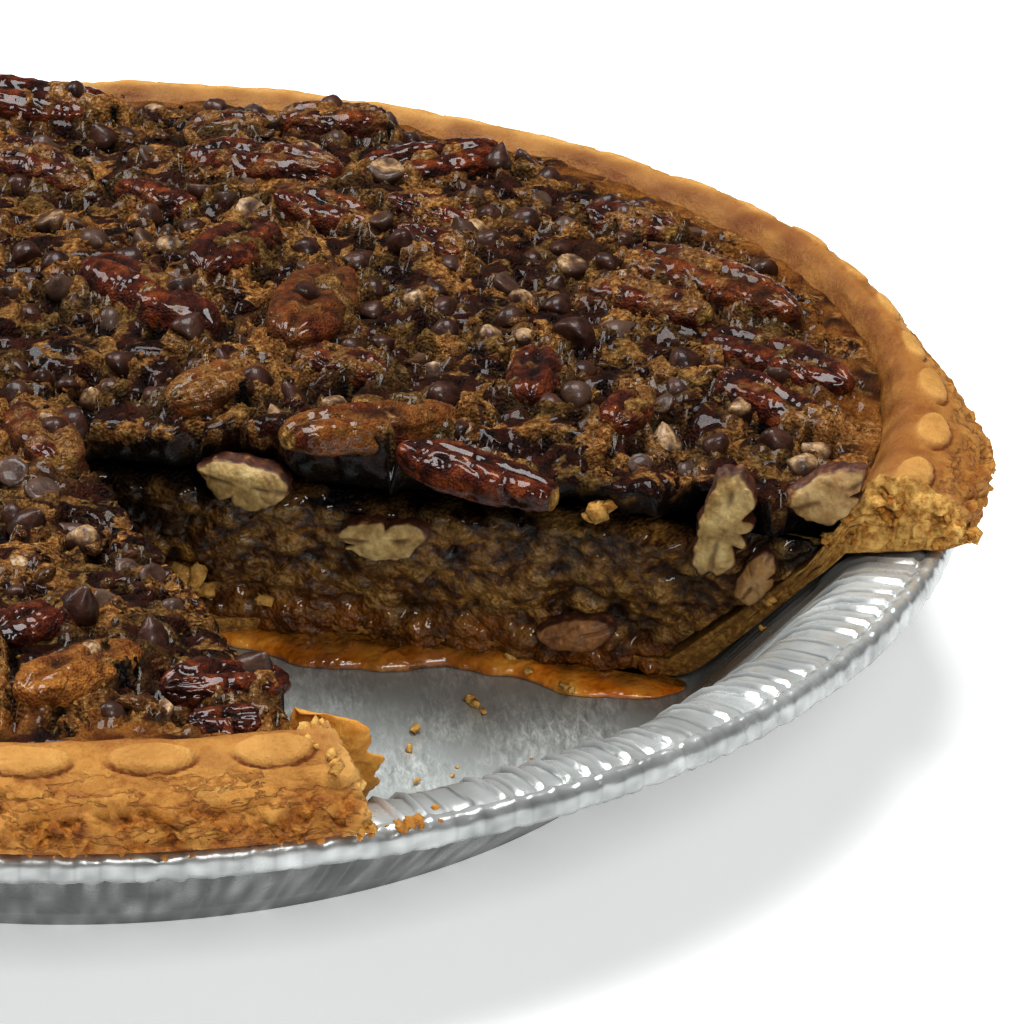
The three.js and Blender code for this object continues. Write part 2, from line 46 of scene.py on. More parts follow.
pie = {
    "tip": (-4, -14), "nearEnd": (30, -107), "farEnd": (106.5, -43.5),  # corners of the missing slice
    "wallFoot": (76.5, 4.2), "wallTop": (95.6, 25.0), "lip": (100.8, 34.4),  # radius, height of the pastry inside
    "edge": 34.5, "rise": 2.3, "undulation": 0.7, "lump": 15, "sag": 2.2, "sagWidth": 13,  # of the baked top
    "seam": 0.2,  # from the filling to the pastry
    "hub": 32,  # how far behind the tip the filling and the top are closed
    "lean": 11.5, "leanFrom": 24,  # the far cut leans back under this height, this far in at the table
}
rear = {  # round the back the rim is pressed lower and narrower, and the top sinks towards it
    "narrows": (-12, 4), "sinks": (-12, 64), "to": (110, 170),  # bearings in degrees
    "keepRadius": 103, "narrow": 0.5, "keepHeight": 28.5, "crest": 36.8, "drop": 4.5, "topDrop": 3.4, "topFrom": 80,
}


# Shapes of the pie that every piece follows.

def unit(v):
    return np.asarray(v, float) / np.linalg.norm(v)


tip = np.array(pie["tip"], float)
nearAlong, farAlong = unit(pie["nearEnd"] - tip), unit(pie["farEnd"] - tip)
nearOut = np.array((nearAlong[1], -nearAlong[0]))  # away from the gap, into the pie
farOut = np.array((-farAlong[1], farAlong[0]))
cuts = ((farOut, farAlong), (nearOut, nearAlong))
behindTip = tip - unit(nearAlong + farAlong) * pie["hub"]  # a place in the pie that sees all of both cuts
farBearing = math.atan2(farAlong[1], farAlong[0])
nearBearing = math.atan2(nearAlong[1], nearAlong[0]) + 2 * math.pi


def smooth(value, low, high):  # 0 below low, 1 above high, eased between
    t = np.clip((value - low) / (high - low), 0, 1)
    return t * t * (3 - 2 * t)


def hump(value, width):  # 1 at 0, falling away on both sides
    return np.exp(-((value / width) ** 2))


def leanAt(z):  # how far the far cut leans back into the pie at a height
    return pie["lean"] * np.maximum(0, 1 - z / pie["leanFrom"])


def fromTip(x, y, way):  # how far a place is from the tip of the cut, measured one way
    return (x - tip[0]) * way[0] + (y - tip[1]) * way[1]


def behindCut(x, y):  # how far a place is behind the nearer cut, negative in the gap
    return np.maximum(fromTip(x, y, nearOut), fromTip(x, y, farOut))


def pastryInside(z):  # radius of the pastry's inner face at a height
    (footR, footZ), (wallR, wallZ), (lipR, lipZ) = pie["wallFoot"], pie["wallTop"], pie["lip"]
    return np.interp(z, (footZ, wallZ, lipZ), (footR, wallR, lipR))


def atRear(x, y, rises):  # 0 beside the cuts to 1 round the back, rising between two bearings
    bearing = (np.degrees(np.arctan2(y, x)) + 450) % 360 - 90
    return smooth(bearing, *rises) * (1 - smooth(bearing, *rear["to"]))


def pressed(r, z, x, y):  # radius and height, once pressed, of a place on the rim that lies towards x, y
    radius = r - rear["narrow"] * atRear(x, y, rear["narrows"]) * np.maximum(0, r - rear["keepRadius"])
    lift = np.maximum(0, z - rear["keepHeight"]) / (rear["crest"] - rear["keepHeight"])
    return radius, z - rear["drop"] * atRear(x, y, rear["sinks"]) * lift


def lumps(x, y):  # the same slow swell as the solid top has: random heights at whole numbers, eased together
    i, j = np.floor(x), np.floor(y)
    u, v = x - i, y - j
    u, v = u * u * (3 - 2 * u), v * v * (3 - 2 * v)

    def draw(a, b):
        value = np.sin(a * 127.1 + b * 311.7 + 5 * 74.7) * 43758.5453
        return value - np.floor(value)

    near = draw(i, j) + (draw(i + 1, j) - draw(i, j)) * u
    far = draw(i, j + 1) + (draw(i + 1, j + 1) - draw(i, j + 1)) * u
    return (near + (far - near) * v) * 2 - 1


def topHeight(x, y):  # a low dome, sagging towards the cuts, with a slow swell
    domed = pie["rise"] * (1 - (x * x + y * y) / pie["lip"][0] ** 2)
    sag = pie["sag"] * hump(np.maximum(behindCut(x, y), 0), pie["sagWidth"])
    sink = rear["topDrop"] * atRear(x, y, rear["sinks"]) * smooth(np.hypot(x, y), rear["topFrom"], pie["lip"][0])
    return pie["edge"] + domed - sag - sink + pie["undulation"] * lumps(x / pie["lump"], y / pie["lump"])


# Noise, as whole arrays of points.

slopes = np.array([
    (1, 1, 0), (-1, 1, 0), (1, -1, 0), (-1, -1, 0), (1, 0, 1), (-1, 0, 1), (1, 0, -1), (-1, 0, -1),
    (0, 1, 1), (0, -1, 1), (0, 1, -1), (0, -1, -1), (1, 1, 0), (0, -1, 1), (-1, 1, 0), (0, -1, -1),
], float)


def scramble(cells, seed):  # a whole number from 0 to 65535 for each whole-number place
    n = cells[..., 0] * 73856093 ^ cells[..., 1] * 19349663 ^ cells[..., 2] * 83492791 ^ (seed + 1) * 39916801
    n = (n ^ (n >> 15)) * 2246822519 & 0xffffffff
    n = (n ^ (n >> 13)) * 3266489917 & 0xffffffff
    return (n ^ (n >> 16)) & 0xffff


def noise(points, size, seed=0):  # random slopes at places one size apart, eased together: about -1 to 1
    where = np.asarray(points) / size
    cell = np.floor(where).astype(np.int64)
    near = where - cell
    ease = near ** 3 * (near * (near * 6 - 15) + 10)
    total = np.zeros(where.shape[:-1])
    for corner in np.ndindex(2, 2, 2):
        slope = slopes[scramble(cell + corner, seed) & 15]
        share = np.prod(np.where(np.array(corner, bool), ease, 1 - ease), axis=-1)
        total += share * ((near - corner) * slope).sum(-1)
    return total


def rough(points, size, octaves=3, seed=0):  # noise with finer noise on it, each half the size and height
    return sum(noise(points, size / 2 ** n, seed + n) / 2 ** n for n in range(octaves))


def patches(points, size, seed, low, high):  # 0 to 1 in patches, as a noise goes from low to high
    return smooth(noise(points, size, seed), low, high)


def creases(points, size, seed, narrow, wide):  # 1 along the lines where a noise passes 0, and 0 away from them
    return 1 - smooth(np.abs(noise(points, size, seed)), narrow, wide)


def shake(points, size, seed, octaves=1):  # a roughness of its own in each of the three directions
    return np.stack([rough(points, size, octaves, seed + n) for n in range(3)], -1)


def bubbles(points, size, seed=0, flat=False):
    # Distance to the nearest of random centres one size apart, as a share of size, with that centre's number 0..1.
    where = np.asarray(points) / size
    cell = np.floor(where).astype(np.int64)
    nearest, tag = np.full(where.shape[:-1], 9.0), np.zeros(where.shape[:-1])
    for step in np.ndindex(3, 3, 1 if flat else 3):
        corner = cell + step - (1, 1, 0 if flat else 1)
        centre = corner + np.stack([scramble(corner, seed + n) / 65535 for n in range(3)], -1) * (1, 1, not flat)
        distance = np.linalg.norm(where - centre, axis=-1)
        closer = distance < nearest
        nearest = np.where(closer, distance, nearest)
        tag = np.where(closer, scramble(corner, seed + 7) / 65535, tag)
    return nearest, tag


# Grids, meshes and pieces.

def allRound(count):  # bearings all the way round, as one row
    return np.linspace(0, 2 * math.pi, count, endpoint=False)[None, :]


def xyz(x, y, z):  # points of three coordinates, each an array or a number
    return np.stack(np.broadcast_arrays(x, y, z), -1)


def turned(r, bearing, z):  # points at a radius, a bearing and a height
    return xyz(r * np.cos(bearing), r * np.sin(bearing), z)


def gridFaces(rows, columns, closed=False):  # the quads of a grid of points, seen from along x down
    i = np.arange(rows - 1)[:, None] * columns
    j = np.arange(columns if closed else columns - 1)[None, :]
    k = (j + 1) % columns
    return np.stack(np.broadcast_arrays(i + j, i + k, i + columns + k, i + columns + j), -1).reshape(-1, 4)


def gridNormals(grid):  # along x down, at each point of a grid
    normal = np.cross(np.gradient(grid, axis=1), np.gradient(grid, axis=0))
    return normal / np.maximum(np.linalg.norm(normal, axis=-1, keepdims=True), 1e-9)


def addObject(name, data):
    made = bpy.data.objects.new(name, data)
    bpy.context.scene.collection.objects.link(made)
    return made


def addPiece(name, points, faces, finish, stands=(), marks=None):
    # Merges the points that meet and turns the faces outwards. A mark that only the finish names is 0 all over.
    mesh = bpy.data.meshes.new(name)
    mesh.from_pydata(np.asarray(points, float).reshape(-1, 3) * mm, [], np.asarray(faces))
    marks = marks or {}
    read = [node.attribute_name for node in finish.node_tree.nodes if node.type == "ATTRIBUTE"]
    for key in dict.fromkeys([*read, *marks]):
        values = np.broadcast_to(np.ravel(marks.get(key, 0.0)), len(mesh.vertices))
        mesh.attributes.new(key, "FLOAT", "POINT").data.foreach_set("value", values.astype(np.float32))
    body = bmesh.new()
    body.from_mesh(mesh)
    bmesh.ops.remove_doubles(body, verts=body.verts, dist=1e-7)
    bmesh.ops.recalc_face_normals(body, faces=body.faces)
    if body.calc_volume(signed=True) < 0:
        bmesh.ops.reverse_faces(body, faces=body.faces)
    body.to_mesh(mesh)
    body.free()
    mesh.shade_smooth()
    mesh.materials.append(finish)
    piece = addObject(name, mesh)
    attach(piece, "root")
    if stands:
        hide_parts(*stands)
    print(f"{name}: {len(mesh.polygons)} faces")


def copies(shapes, faces, turns, places):  # shapes (n, m, 3), each turned by its own matrix and set at its place
    points = np.einsum("nij,nmj->nmi", turns, shapes) + places[:, None]
    shift = (np.arange(len(places)) * shapes.shape[1])[:, None, None]
    return points.reshape(-1, 3), (faces[None] + shift).reshape(-1, faces.shape[-1])


def turnTo(heading, pitch=0.0, roll=0.0):  # about X by roll, then Y by pitch, then Z by heading
    return np.array(Matrix.Rotation(heading, 3, "Z") @ Matrix.Rotation(pitch, 3, "Y") @ Matrix.Rotation(roll, 3, "X"))


# The camera, and the places that it sees at a pixel.

view = {
    "distance": 610.5, "elevation": 0.473, "focal": 4722.3, "frame": 1024,  # mm, radians, pixels, pixels
    "yaw": 0.09, "pitch": 0.019, "roll": -0.012, "sensor": 36, "clip": (0.05, 20),
    "firstHeight": 37.0, "rounds": 6,  # where the search for a place on the top starts, and how often it is mended
}


def swing(first, second, angle):  # two axes turned in their plane, the first towards the second
    c, s = math.cos(angle), math.sin(angle)
    return c * first + s * second, c * second - s * first


def cameraAxes():
    e = view["elevation"]
    place = np.array((0, -math.cos(e), math.sin(e))) * view["distance"]
    forward, right = unit(-place), np.array((1.0, 0, 0))
    up = np.cross(right, forward)
    forward, right = swing(forward, right, view["yaw"])
    forward, up = swing(forward, up, view["pitch"])
    right, up = swing(right, up, view["roll"])
    return place, forward, right, up


def underPixel(px, py, height=None):  # the place on the baked top, or at a height, that is seen at a pixel
    place, forward, right, up = cameraAxes()
    half = view["frame"] / 2
    ray = forward + right * (px - half) / view["focal"] - up * (py - half) / view["focal"]
    z = view["firstHeight"] if height is None else height
    for _ in range(view["rounds"]):
        point = place + ray * (z - place[2]) / ray[2]
        z = topHeight(point[0], point[1]) if height is None else height
    return point


def onFarCut(px, py, head=36, foot=0.8, step=0.2, proud=0.6):  # the place on the far cut that is seen at a pixel
    for z in np.arange(head, foot, -step):
        point = underPixel(px, py, z)
        if (point[:2] - tip) @ farOut > leanAt(z) - proud:
            break
    return point


def addCamera():
    place, forward, right, up = cameraAxes()
    lens = bpy.data.cameras.new("view")
    lens.sensor_width = view["sensor"]
    lens.lens = view["focal"] * view["sensor"] / view["frame"]
    lens.clip_start, lens.clip_end = view["clip"]
    camera = addObject("view", lens)
    turn = Matrix(np.stack([right, up, -forward], 1).tolist()).to_4x4()
    camera.matrix_world = Matrix.Translation(Vector(place * mm)) @ turn
    bpy.context.scene.camera = camera


# Materials.

def tint(r, g, b):  # a colour as 0..255 on screen, to the linear values that a shader takes
    c = np.array((r, g, b)) / 255
    return (*np.where(c <= 0.04045, c / 12.92, ((c + 0.055) / 1.055) ** 2.4), 1.0)


class Finish:  # a material with short ways of adding its nodes
    def __init__(self, name, roughness=0.5, **values):
        self.material = bpy.data.materials.new(name)
        self.material.use_nodes = True
        self.tree = self.material.node_tree
        self.shader = self.tree.nodes["Principled BSDF"]
        self.place = self.tree.nodes.new("ShaderNodeTexCoord").outputs["Object"]
        self.colour = None
        for key, value in {"Roughness": roughness, **values}.items():
            self.set(key, value)

    def give(self, socket, value):  # what another node puts out, or a fixed value
        if isinstance(value, bpy.types.NodeSocket):
            self.tree.links.new(value, socket)
        elif value is not None:
            socket.default_value = value

    def set(self, name, value):
        self.give(self.shader.inputs[name.replace("_", " ")], value)

    def add(self, kind, *values, **settings):
        made = self.tree.nodes.new("ShaderNode" + kind)
        for key, value in settings.items():
            setattr(made, key, value)
        for socket, value in zip(made.inputs, values):
            self.give(socket, value)
        return made

    def mark(self, name):  # a value that the mesh carries
        return self.add("Attribute", attribute_name=name).outputs["Fac"]

    def noise(self, size, detail=3.0, rough=0.55, stretch=(1, 1, 1), warp=0.0):  # size in millimetres
        made = self.add("TexNoise", self.add("Mapping", self.place, None, None, stretch).outputs[0])
        settings = {"Scale": 1 / (size * mm), "Detail": detail, "Roughness": rough, "Distortion": warp}
        for key, value in settings.items():
            made.inputs[key].default_value = value
        return made.outputs[0]

    def cells(self, size):  # distance to the nearest of random centres, size in millimetres
        made = self.add("TexVoronoi", self.place)
        made.inputs["Scale"].default_value = 1 / (size * mm)
        return made.outputs["Distance"]

    def math(self, operation, *values):
        return self.add("Math", *values, operation=operation).outputs[0]

    def between(self, value, low, high, bottom=0.0, peak=1.0):  # bottom at low, peak at high, no further outside
        return self.add("MapRange", value, low, high, bottom, peak).outputs[0]

    def ramp(self, value, *stops):  # a colour for each value, by stops of a place from 0 to 1 and a colour
        made = self.add("ValToRGB", value)
        elements = made.color_ramp.elements
        for n, (at, *colour) in enumerate(stops):
            stop = elements[n] if n < 2 else elements.new(at)
            stop.position, stop.color = at, tint(*colour)
        return made.outputs[0]

    def grain(self, noise, *stops):  # a ramp over a noise
        return self.ramp(self.noise(*noise), *stops)

    def mix(self, factor, first, second):
        made = self.add("Mix", factor, data_type="RGBA")
        for name, value in zip(("A", "B"), (first, second)):
            self.give(next(i for i in made.inputs if i.name == name and i.type == "RGBA"), value)
        return next(o for o in made.outputs if o.type == "RGBA")

    def lay(self, share, cover):  # a colour, or a node's colours, over the colour so far; share may be a mark's name
        share = self.mark(share) if isinstance(share, str) else share
        cover = tint(*cover) if isinstance(cover, tuple) else cover
        self.colour = self.mix(share, self.colour, cover)

    def relief(self, *layers):  # bumps over each other, coarsest first: each a height and its depth in millimetres
        under = None
        for height, depth in layers:
            made = self.add("Bump")
            for name, value in {"Strength": 1.0, "Distance": depth * mm, "Height": height, "Normal": under}.items():
                self.give(made.inputs[name], value)
            under = made.outputs[0]
        self.set("Normal", under)

    def done(self):
        self.set("Base Color", self.colour)
        return self.material


def foilFinish():  # rolled aluminium: satin, finely scratched, a little duller where it was rubbed
    foil = Finish("foil", Metallic=0.56)
    rubbed, floor = foil.noise(9, 4), foil.mark("floor")
    foil.colour = foil.ramp(rubbed, (0.3, 198, 202, 200), (0.7, 226, 230, 229))
    # Painted shade: a dark line along each fold.
    foil.lay(foil.math("MULTIPLY", foil.mark("fold"), 0.75), (96, 99, 98))
    streaks = foil.noise(0.8, 6, 0.75, (1, 0.25, 1), 0.5)
    worn = foil.ramp(streaks, (0.34, 146, 150, 148), (0.5, 200, 206, 204), (0.64, 244, 250, 248))
    foil.lay(floor, foil.mix(foil.between(foil.noise(14, 4), 0.35, 0.65), worn, tint(184, 190, 188)))
    # Painted shade and a darker painted reflection on the outer wall below the rolled rim.
    foil.lay("outside", foil.ramp(rubbed, (0.3, 60, 63, 62), (0.7, 88, 91, 90)))
    foil.set("Roughness", foil.between(floor, 0, 1, foil.between(rubbed, 0.3, 0.75, 0.2, 0.32), 0.46))
    scratches = foil.math("MULTIPLY", foil.noise(0.7, 5, 0.7, (1, 0.12, 1), 0.4), 0.6)
    grain = foil.math("MULTIPLY", foil.noise(0.28, 3, 0.7), foil.between(floor, 0, 1, 0.25, 0.9))
    foil.relief((foil.math("ADD", scratches, grain), 0.05))
    return foil.done()


def pastryFinish():  # baked short pastry: golden, toasted on the high places, stained by caramel on the inside, with painted shade in its creases, cracks and underside
    pastry = Finish("pastry", Subsurface_Weight=0.05, Subsurface_Scale=0.002, Specular_IOR_Level=0.3)
    blush, flaky, stain = pastry.noise(9, 6, 0.62, warp=0.3), pastry.mark("flaky"), pastry.mark("stain")
    pastry.colour = pastry.ramp(blush, (0.34, 202, 150, 76), (0.5, 186, 130, 56), (0.66, 150, 92, 28))
    pastry.lay(pastry.between(pastry.noise(0.8, 5, 0.7), 0.38, 0.66, 0, 0.5), (212, 166, 88))
    layer = pastry.noise(3.0, 6, 0.62, (0.4, 0.4, 1.5), 0.3)  # thin flakes lying over each other
    # Painted shade: a dark line under the edge of each flake.
    under = pastry.math("MULTIPLY", pastry.between(layer, 0.5, 0.47), pastry.between(layer, 0.43, 0.46))
    pastry.lay(pastry.math("MULTIPLY", under, flaky), (142, 78, 20))
    pastry.lay("pale", pastry.ramp(blush, (0.35, 210, 164, 96), (0.65, 188, 138, 70)))
    # Painted shade: a dark crease at the lower edge of a crimp.
    crimp = pastry.math("ADD", pastry.mark("crimp"), pastry.between(pastry.noise(1.5, 4), 0.3, 0.7, -0.07, 0.07))
    crease = pastry.math("MULTIPLY", pastry.between(crimp, 0.98, 1.03), pastry.between(crimp, 1.16, 1.05))
    pastry.lay(pastry.math("MULTIPLY", crease, pastry.between(flaky, 0.0, 0.03, 0, 0.9)), (112, 52, 10))
    pastry.lay(pastry.between(pastry.noise(1.7, 5, 0.7), 0.6, 0.72, 0, 0.55), (124, 68, 18))
    # Toasted patches, and painted shade in the crimp creases, under the flakes, in torn holes and on the underside.
    pastry.lay("toastAndShade", (122, 62, 12))
    pastry.lay("crumb", pastry.grain((1.4, 5, 0.7), (0.36, 104, 52, 8), (0.5, 150, 88, 22), (0.66, 196, 134, 52)))
    pastry.lay("inner", pastry.grain((1.1, 5, 0.7), (0.35, 164, 108, 36), (0.62, 232, 188, 108)))
    pastry.lay("amber", pastry.grain((3, 5, 0.65), (0.35, 190, 114, 22), (0.65, 234, 170, 70)))
    pastry.lay(stain, (104, 48, 14))
    pastry.lay("soaked", pastry.grain((0.9, 5, 0.7), (0.35, 84, 50, 16), (0.5, 138, 96, 38), (0.66, 192, 148, 74)))
    pastry.set("Roughness", pastry.between(stain, 0, 1, 0.7, 0.22))
    steps = pastry.math("MULTIPLY", pastry.between(layer, 0.47, 0.5), flaky)
    pastry.relief((steps, 0.4), (pastry.noise(1.5, 6, 0.68), 0.5), (pastry.noise(0.4, 3, 0.6), 0.16))
    return pastry.done()


def fillingFinish():  # wet, grainy set syrup: dark brown and olive, full of small highlights
    filling = Finish("filling", Specular_IOR_Level=0.1, Coat_Weight=0.55, Coat_Roughness=0.04)
    patch = filling.noise(3.4, 6, 0.68, warp=0.5)
    filling.colour = filling.ramp(patch, (0.36, 22, 6, 0), (0.48, 84, 46, 14), (0.62, 158, 114, 52))
    filling.lay("pale", filling.grain((1.0, 4, 0.65), (0.36, 116, 80, 34), (0.62, 188, 148, 82)))
    # Painted shade: near black in the hollows, under the baked top's edge and in the corner at the tip.
    filling.lay("paintedShade", (8, 2, 0))
    filling.lay("amber", filling.grain((4, 4), (0.35, 60, 26, 4), (0.65, 138, 80, 20)))
    filling.set("Roughness", filling.between(filling.noise(1.5, 3), 0.35, 0.65, 0.35, 0.65))
    filling.relief((filling.noise(1.2, 5, 0.6), 0.45), (filling.cells(0.55), 0.4))
    return filling.done()


def toppingFinish():  # the baked top: grainy ochre foam between dark glossy caramel, black in the holes from dark caramel and painted shade
    topping = Finish("topping", Specular_IOR_Level=0.1, Coat_Roughness=0.05)
    grain = topping.noise(0.8, 5, 0.68)
    ochre = topping.ramp(grain, (0.34, 100, 58, 24), (0.5, 158, 106, 54), (0.66, 210, 164, 100))
    olive = topping.ramp(grain, (0.34, 66, 42, 18), (0.5, 110, 80, 40), (0.66, 156, 124, 72))
    foam = topping.mix(topping.between(topping.noise(11, 4), 0.42, 0.58), ochre, olive)
    wet = topping.between(topping.noise(5.5, 6, 0.6, warp=0.8), 0.455, 0.5)
    topping.colour = foam
    topping.lay(wet, topping.grain((2.2, 4), (0.35, 12, 2, 1), (0.65, 68, 26, 9)))
    topping.lay("film", foam)
    # Dark caramel and painted shade: near black in the holes, cracks and hollows, and on the wall under the edge.
    topping.lay("pit", (10, 3, 1))
    topping.lay("caramel", topping.grain((3.5, 5, 0.65), (0.36, 96, 44, 12), (0.64, 168, 110, 46)))
    topping.set("Roughness", topping.between(wet, 0, 1, 0.7, 0.45))
    topping.set("Coat Weight", topping.between(wet, 0, 1, 0.0, 0.3))
    topping.relief((topping.noise(1.1, 7, 0.78), 0.6), (topping.cells(0.45), 0.45))
    return topping.done()


def nutFinish():  # roasted pecan skin under a thin glaze, dull with foam in places, paler where it broke
    nut = Finish("pecan", Specular_IOR_Level=0.1, Coat_Roughness=0.05)
    patch, film = nut.noise(2.6, 6, 0.66, warp=0.5), nut.mark("film")
    nut.colour = nut.ramp(patch, (0.34, 24, 5, 3), (0.5, 84, 30, 14), (0.66, 148, 74, 32))
    # Painted shade in the furrows, the cleft, the creases and the pits.
    nut.lay("groove", (20, 6, 4))
    nut.lay("golden", nut.grain((1.3, 5, 0.7), (0.36, 126, 66, 22), (0.62, 198, 134, 62)))
    nut.lay(film, nut.grain((0.7, 5, 0.72), (0.36, 84, 48, 22), (0.5, 136, 94, 48), (0.64, 186, 144, 90)))
    nut.lay("flesh", nut.grain((1.2, 4, 0.6), (0.36, 176, 124, 52), (0.62, 226, 184, 108)))
    nut.set("Roughness", nut.between(nut.noise(1.0, 4), 0.35, 0.65, 0.4, 0.6))
    nut.set("Coat Weight", nut.between(film, 0, 1, 0.55, 0.05))
    nut.relief((nut.noise(0.9, 6, 0.76), 0.45), (nut.cells(0.36), 0.34))
    return nut.done()


def cutNutFinish():  # a sliced pecan: cream and olive inside, with its thin dark skin round it
    cut = Finish("cut pecan", Coat_Weight=0.2, Coat_Roughness=0.3, Subsurface_Weight=0.08, Subsurface_Scale=0.002)
    cut.colour = cut.grain((2.6, 5, 0.6), (0.34, 136, 104, 50), (0.5, 182, 150, 90), (0.66, 216, 190, 130))
    cut.lay("roast", cut.grain((1.6, 5, 0.65), (0.36, 96, 46, 16), (0.64, 166, 108, 50)))
    # Painted shade in the folds, the furrow and the notches.
    cut.lay("groove", (88, 54, 20))
    cut.lay("skin", cut.grain((1.8, 6, 0.7), (0.36, 40, 14, 7), (0.54, 86, 42, 20), (0.68, 150, 104, 56)))
    cut.relief((cut.noise(0.9, 6, 0.7), 0.35))
    return cut.done()


def chocolateFinish():  # satin chocolate, greyed by bloom, with pale foam caps
    chocolate = Finish("chocolate", Specular_IOR_Level=0.2, Coat_Roughness=0.12, Coat_Weight=0.25)
    chocolate.colour = chocolate.grain((2.2, 5, 0.6), (0.35, 34, 15, 9), (0.65, 76, 46, 34))
    chocolate.lay("bloom", (118, 98, 82))
    chocolate.lay("foam", chocolate.grain((0.6, 4, 0.7), (0.36, 120, 88, 56), (0.62, 206, 172, 128)))
    chocolate.set("Roughness", chocolate.between(chocolate.noise(1.2, 3), 0.35, 0.65, 0.3, 0.5))
    chocolate.relief((chocolate.noise(1.0, 4, 0.6), 0.18), (chocolate.noise(0.35, 3, 0.6), 0.05))
    return chocolate.done()


def syrupFinish():  # clear amber syrup, darker where it is deep
    syrup = Finish("syrup", 0.06, IOR=1.46, Transmission_Weight=0.15, Coat_Weight=0.8)
    syrup.colour = syrup.grain((7, 5, 0.62), (0.36, 176, 88, 10), (0.5, 224, 126, 22), (0.64, 250, 172, 66))
    syrup.lay("deep", syrup.grain((3, 5, 0.65), (0.36, 86, 46, 8), (0.64, 166, 110, 36)))
    syrup.relief((syrup.noise(2.4, 2), 1.1))
    return syrup.done()


# The foil tin.

tin = {
    "floor": 78.8, "wallFoot": (80.6, 1.8), "wallHead": (100.2, 25.6), "flange": (107.6, 26.4),
    "rim": 111.0, "rimTop": 27.2, "bead": 1.5, "skirt": 23.6, "sheet": 0.45, "under": 0.02,
    "columns": 1800, "outsideRows": 9, "rollRows": 20, "innerRows": 16,
    "floorRows": (0.9, 0.8, 0.65, 0.5, 0.35, 0.2, 0.1, 0),  # as shares of its radius
    # panels between folds: how far each rises from side to side, the ridge where two meet, and the painted shade
    # along the fold
    "panels": 230, "wander": 0.45, "rise": (-0.1, 0.75), "ridge": (-0.1, 0.6), "ridgeWide": 0.2,
    "foldShadeAt": 0.93, "foldShadeWide": 0.07, "ripple": 0.16, "swell": 0.3, "kinks": 0.3, "dents": 0.12, "seed": 5,
    # Painted shade and darker reflection, as a share at these profile rows:
    "darkRows": (15, 17, 22, 25), "paintedShade": (1, 0.6, 0.5, 0),  # all below the rolled rim, its outer face half so
}


def pathPoints(path, count, soften=0):  # a polyline at even steps, its corners rounded by averaging neighbours
    path = np.array(path, float)
    lengths = np.r_[0, np.cumsum(np.linalg.norm(np.diff(path, axis=0), axis=1))]
    at = np.linspace(0, lengths[-1], count)
    points = np.stack([np.interp(at, lengths, path[:, n]) for n in range(path.shape[1])], 1)
    for _ in range(soften):
        points[1:-1] = (points[:-2] + points[1:-1] * 2 + points[2:]) / 4
    return points


def tinProfile():  # radius and height: under the floor, up outside, round the rolled rim, down inside, over the floor
    (footR, footZ), (headR, headZ), (endR, endZ) = tin["wallFoot"], tin["wallHead"], tin["flange"]
    rim, top, bead, skirt, sheet, under = (tin[key] for key in ("rim", "rimTop", "bead", "skirt", "sheet", "under"))
    outside = [(footR - 1.2, 0.05), (footR + sheet, footZ - 0.4), (headR + sheet * 1.4, headZ - sheet),
               (endR, endZ - sheet)]
    roll = [(endR + 0.7, skirt + 0.9), (rim - 1.4, skirt), (rim - 0.5, skirt), (rim, skirt + 0.7),
            (rim, top - bead * 0.8), (rim - 0.6, top - 0.2), (rim - bead, top), (rim - bead * 1.5, top - 0.5),
            (rim - bead * 1.8, top - 1.3), (endR, endZ)]
    inner = [(endR, endZ), (headR + 1.2, headZ + 0.15), (headR, headZ - 0.5), (footR, footZ), (footR - 1.6, sheet)]
    profile = np.concatenate([
        [(0, under), (tin["floor"] * 0.6, under)], pathPoints(outside, tin["outsideRows"], 1),
        pathPoints(roll, tin["rollRows"], 1), pathPoints(inner, tin["innerRows"], 1)[1:],
        [(tin["floor"] * share, sheet) for share in tin["floorRows"]],
    ])
    return profile[:, :1], np.maximum(profile[:, 1:], under)


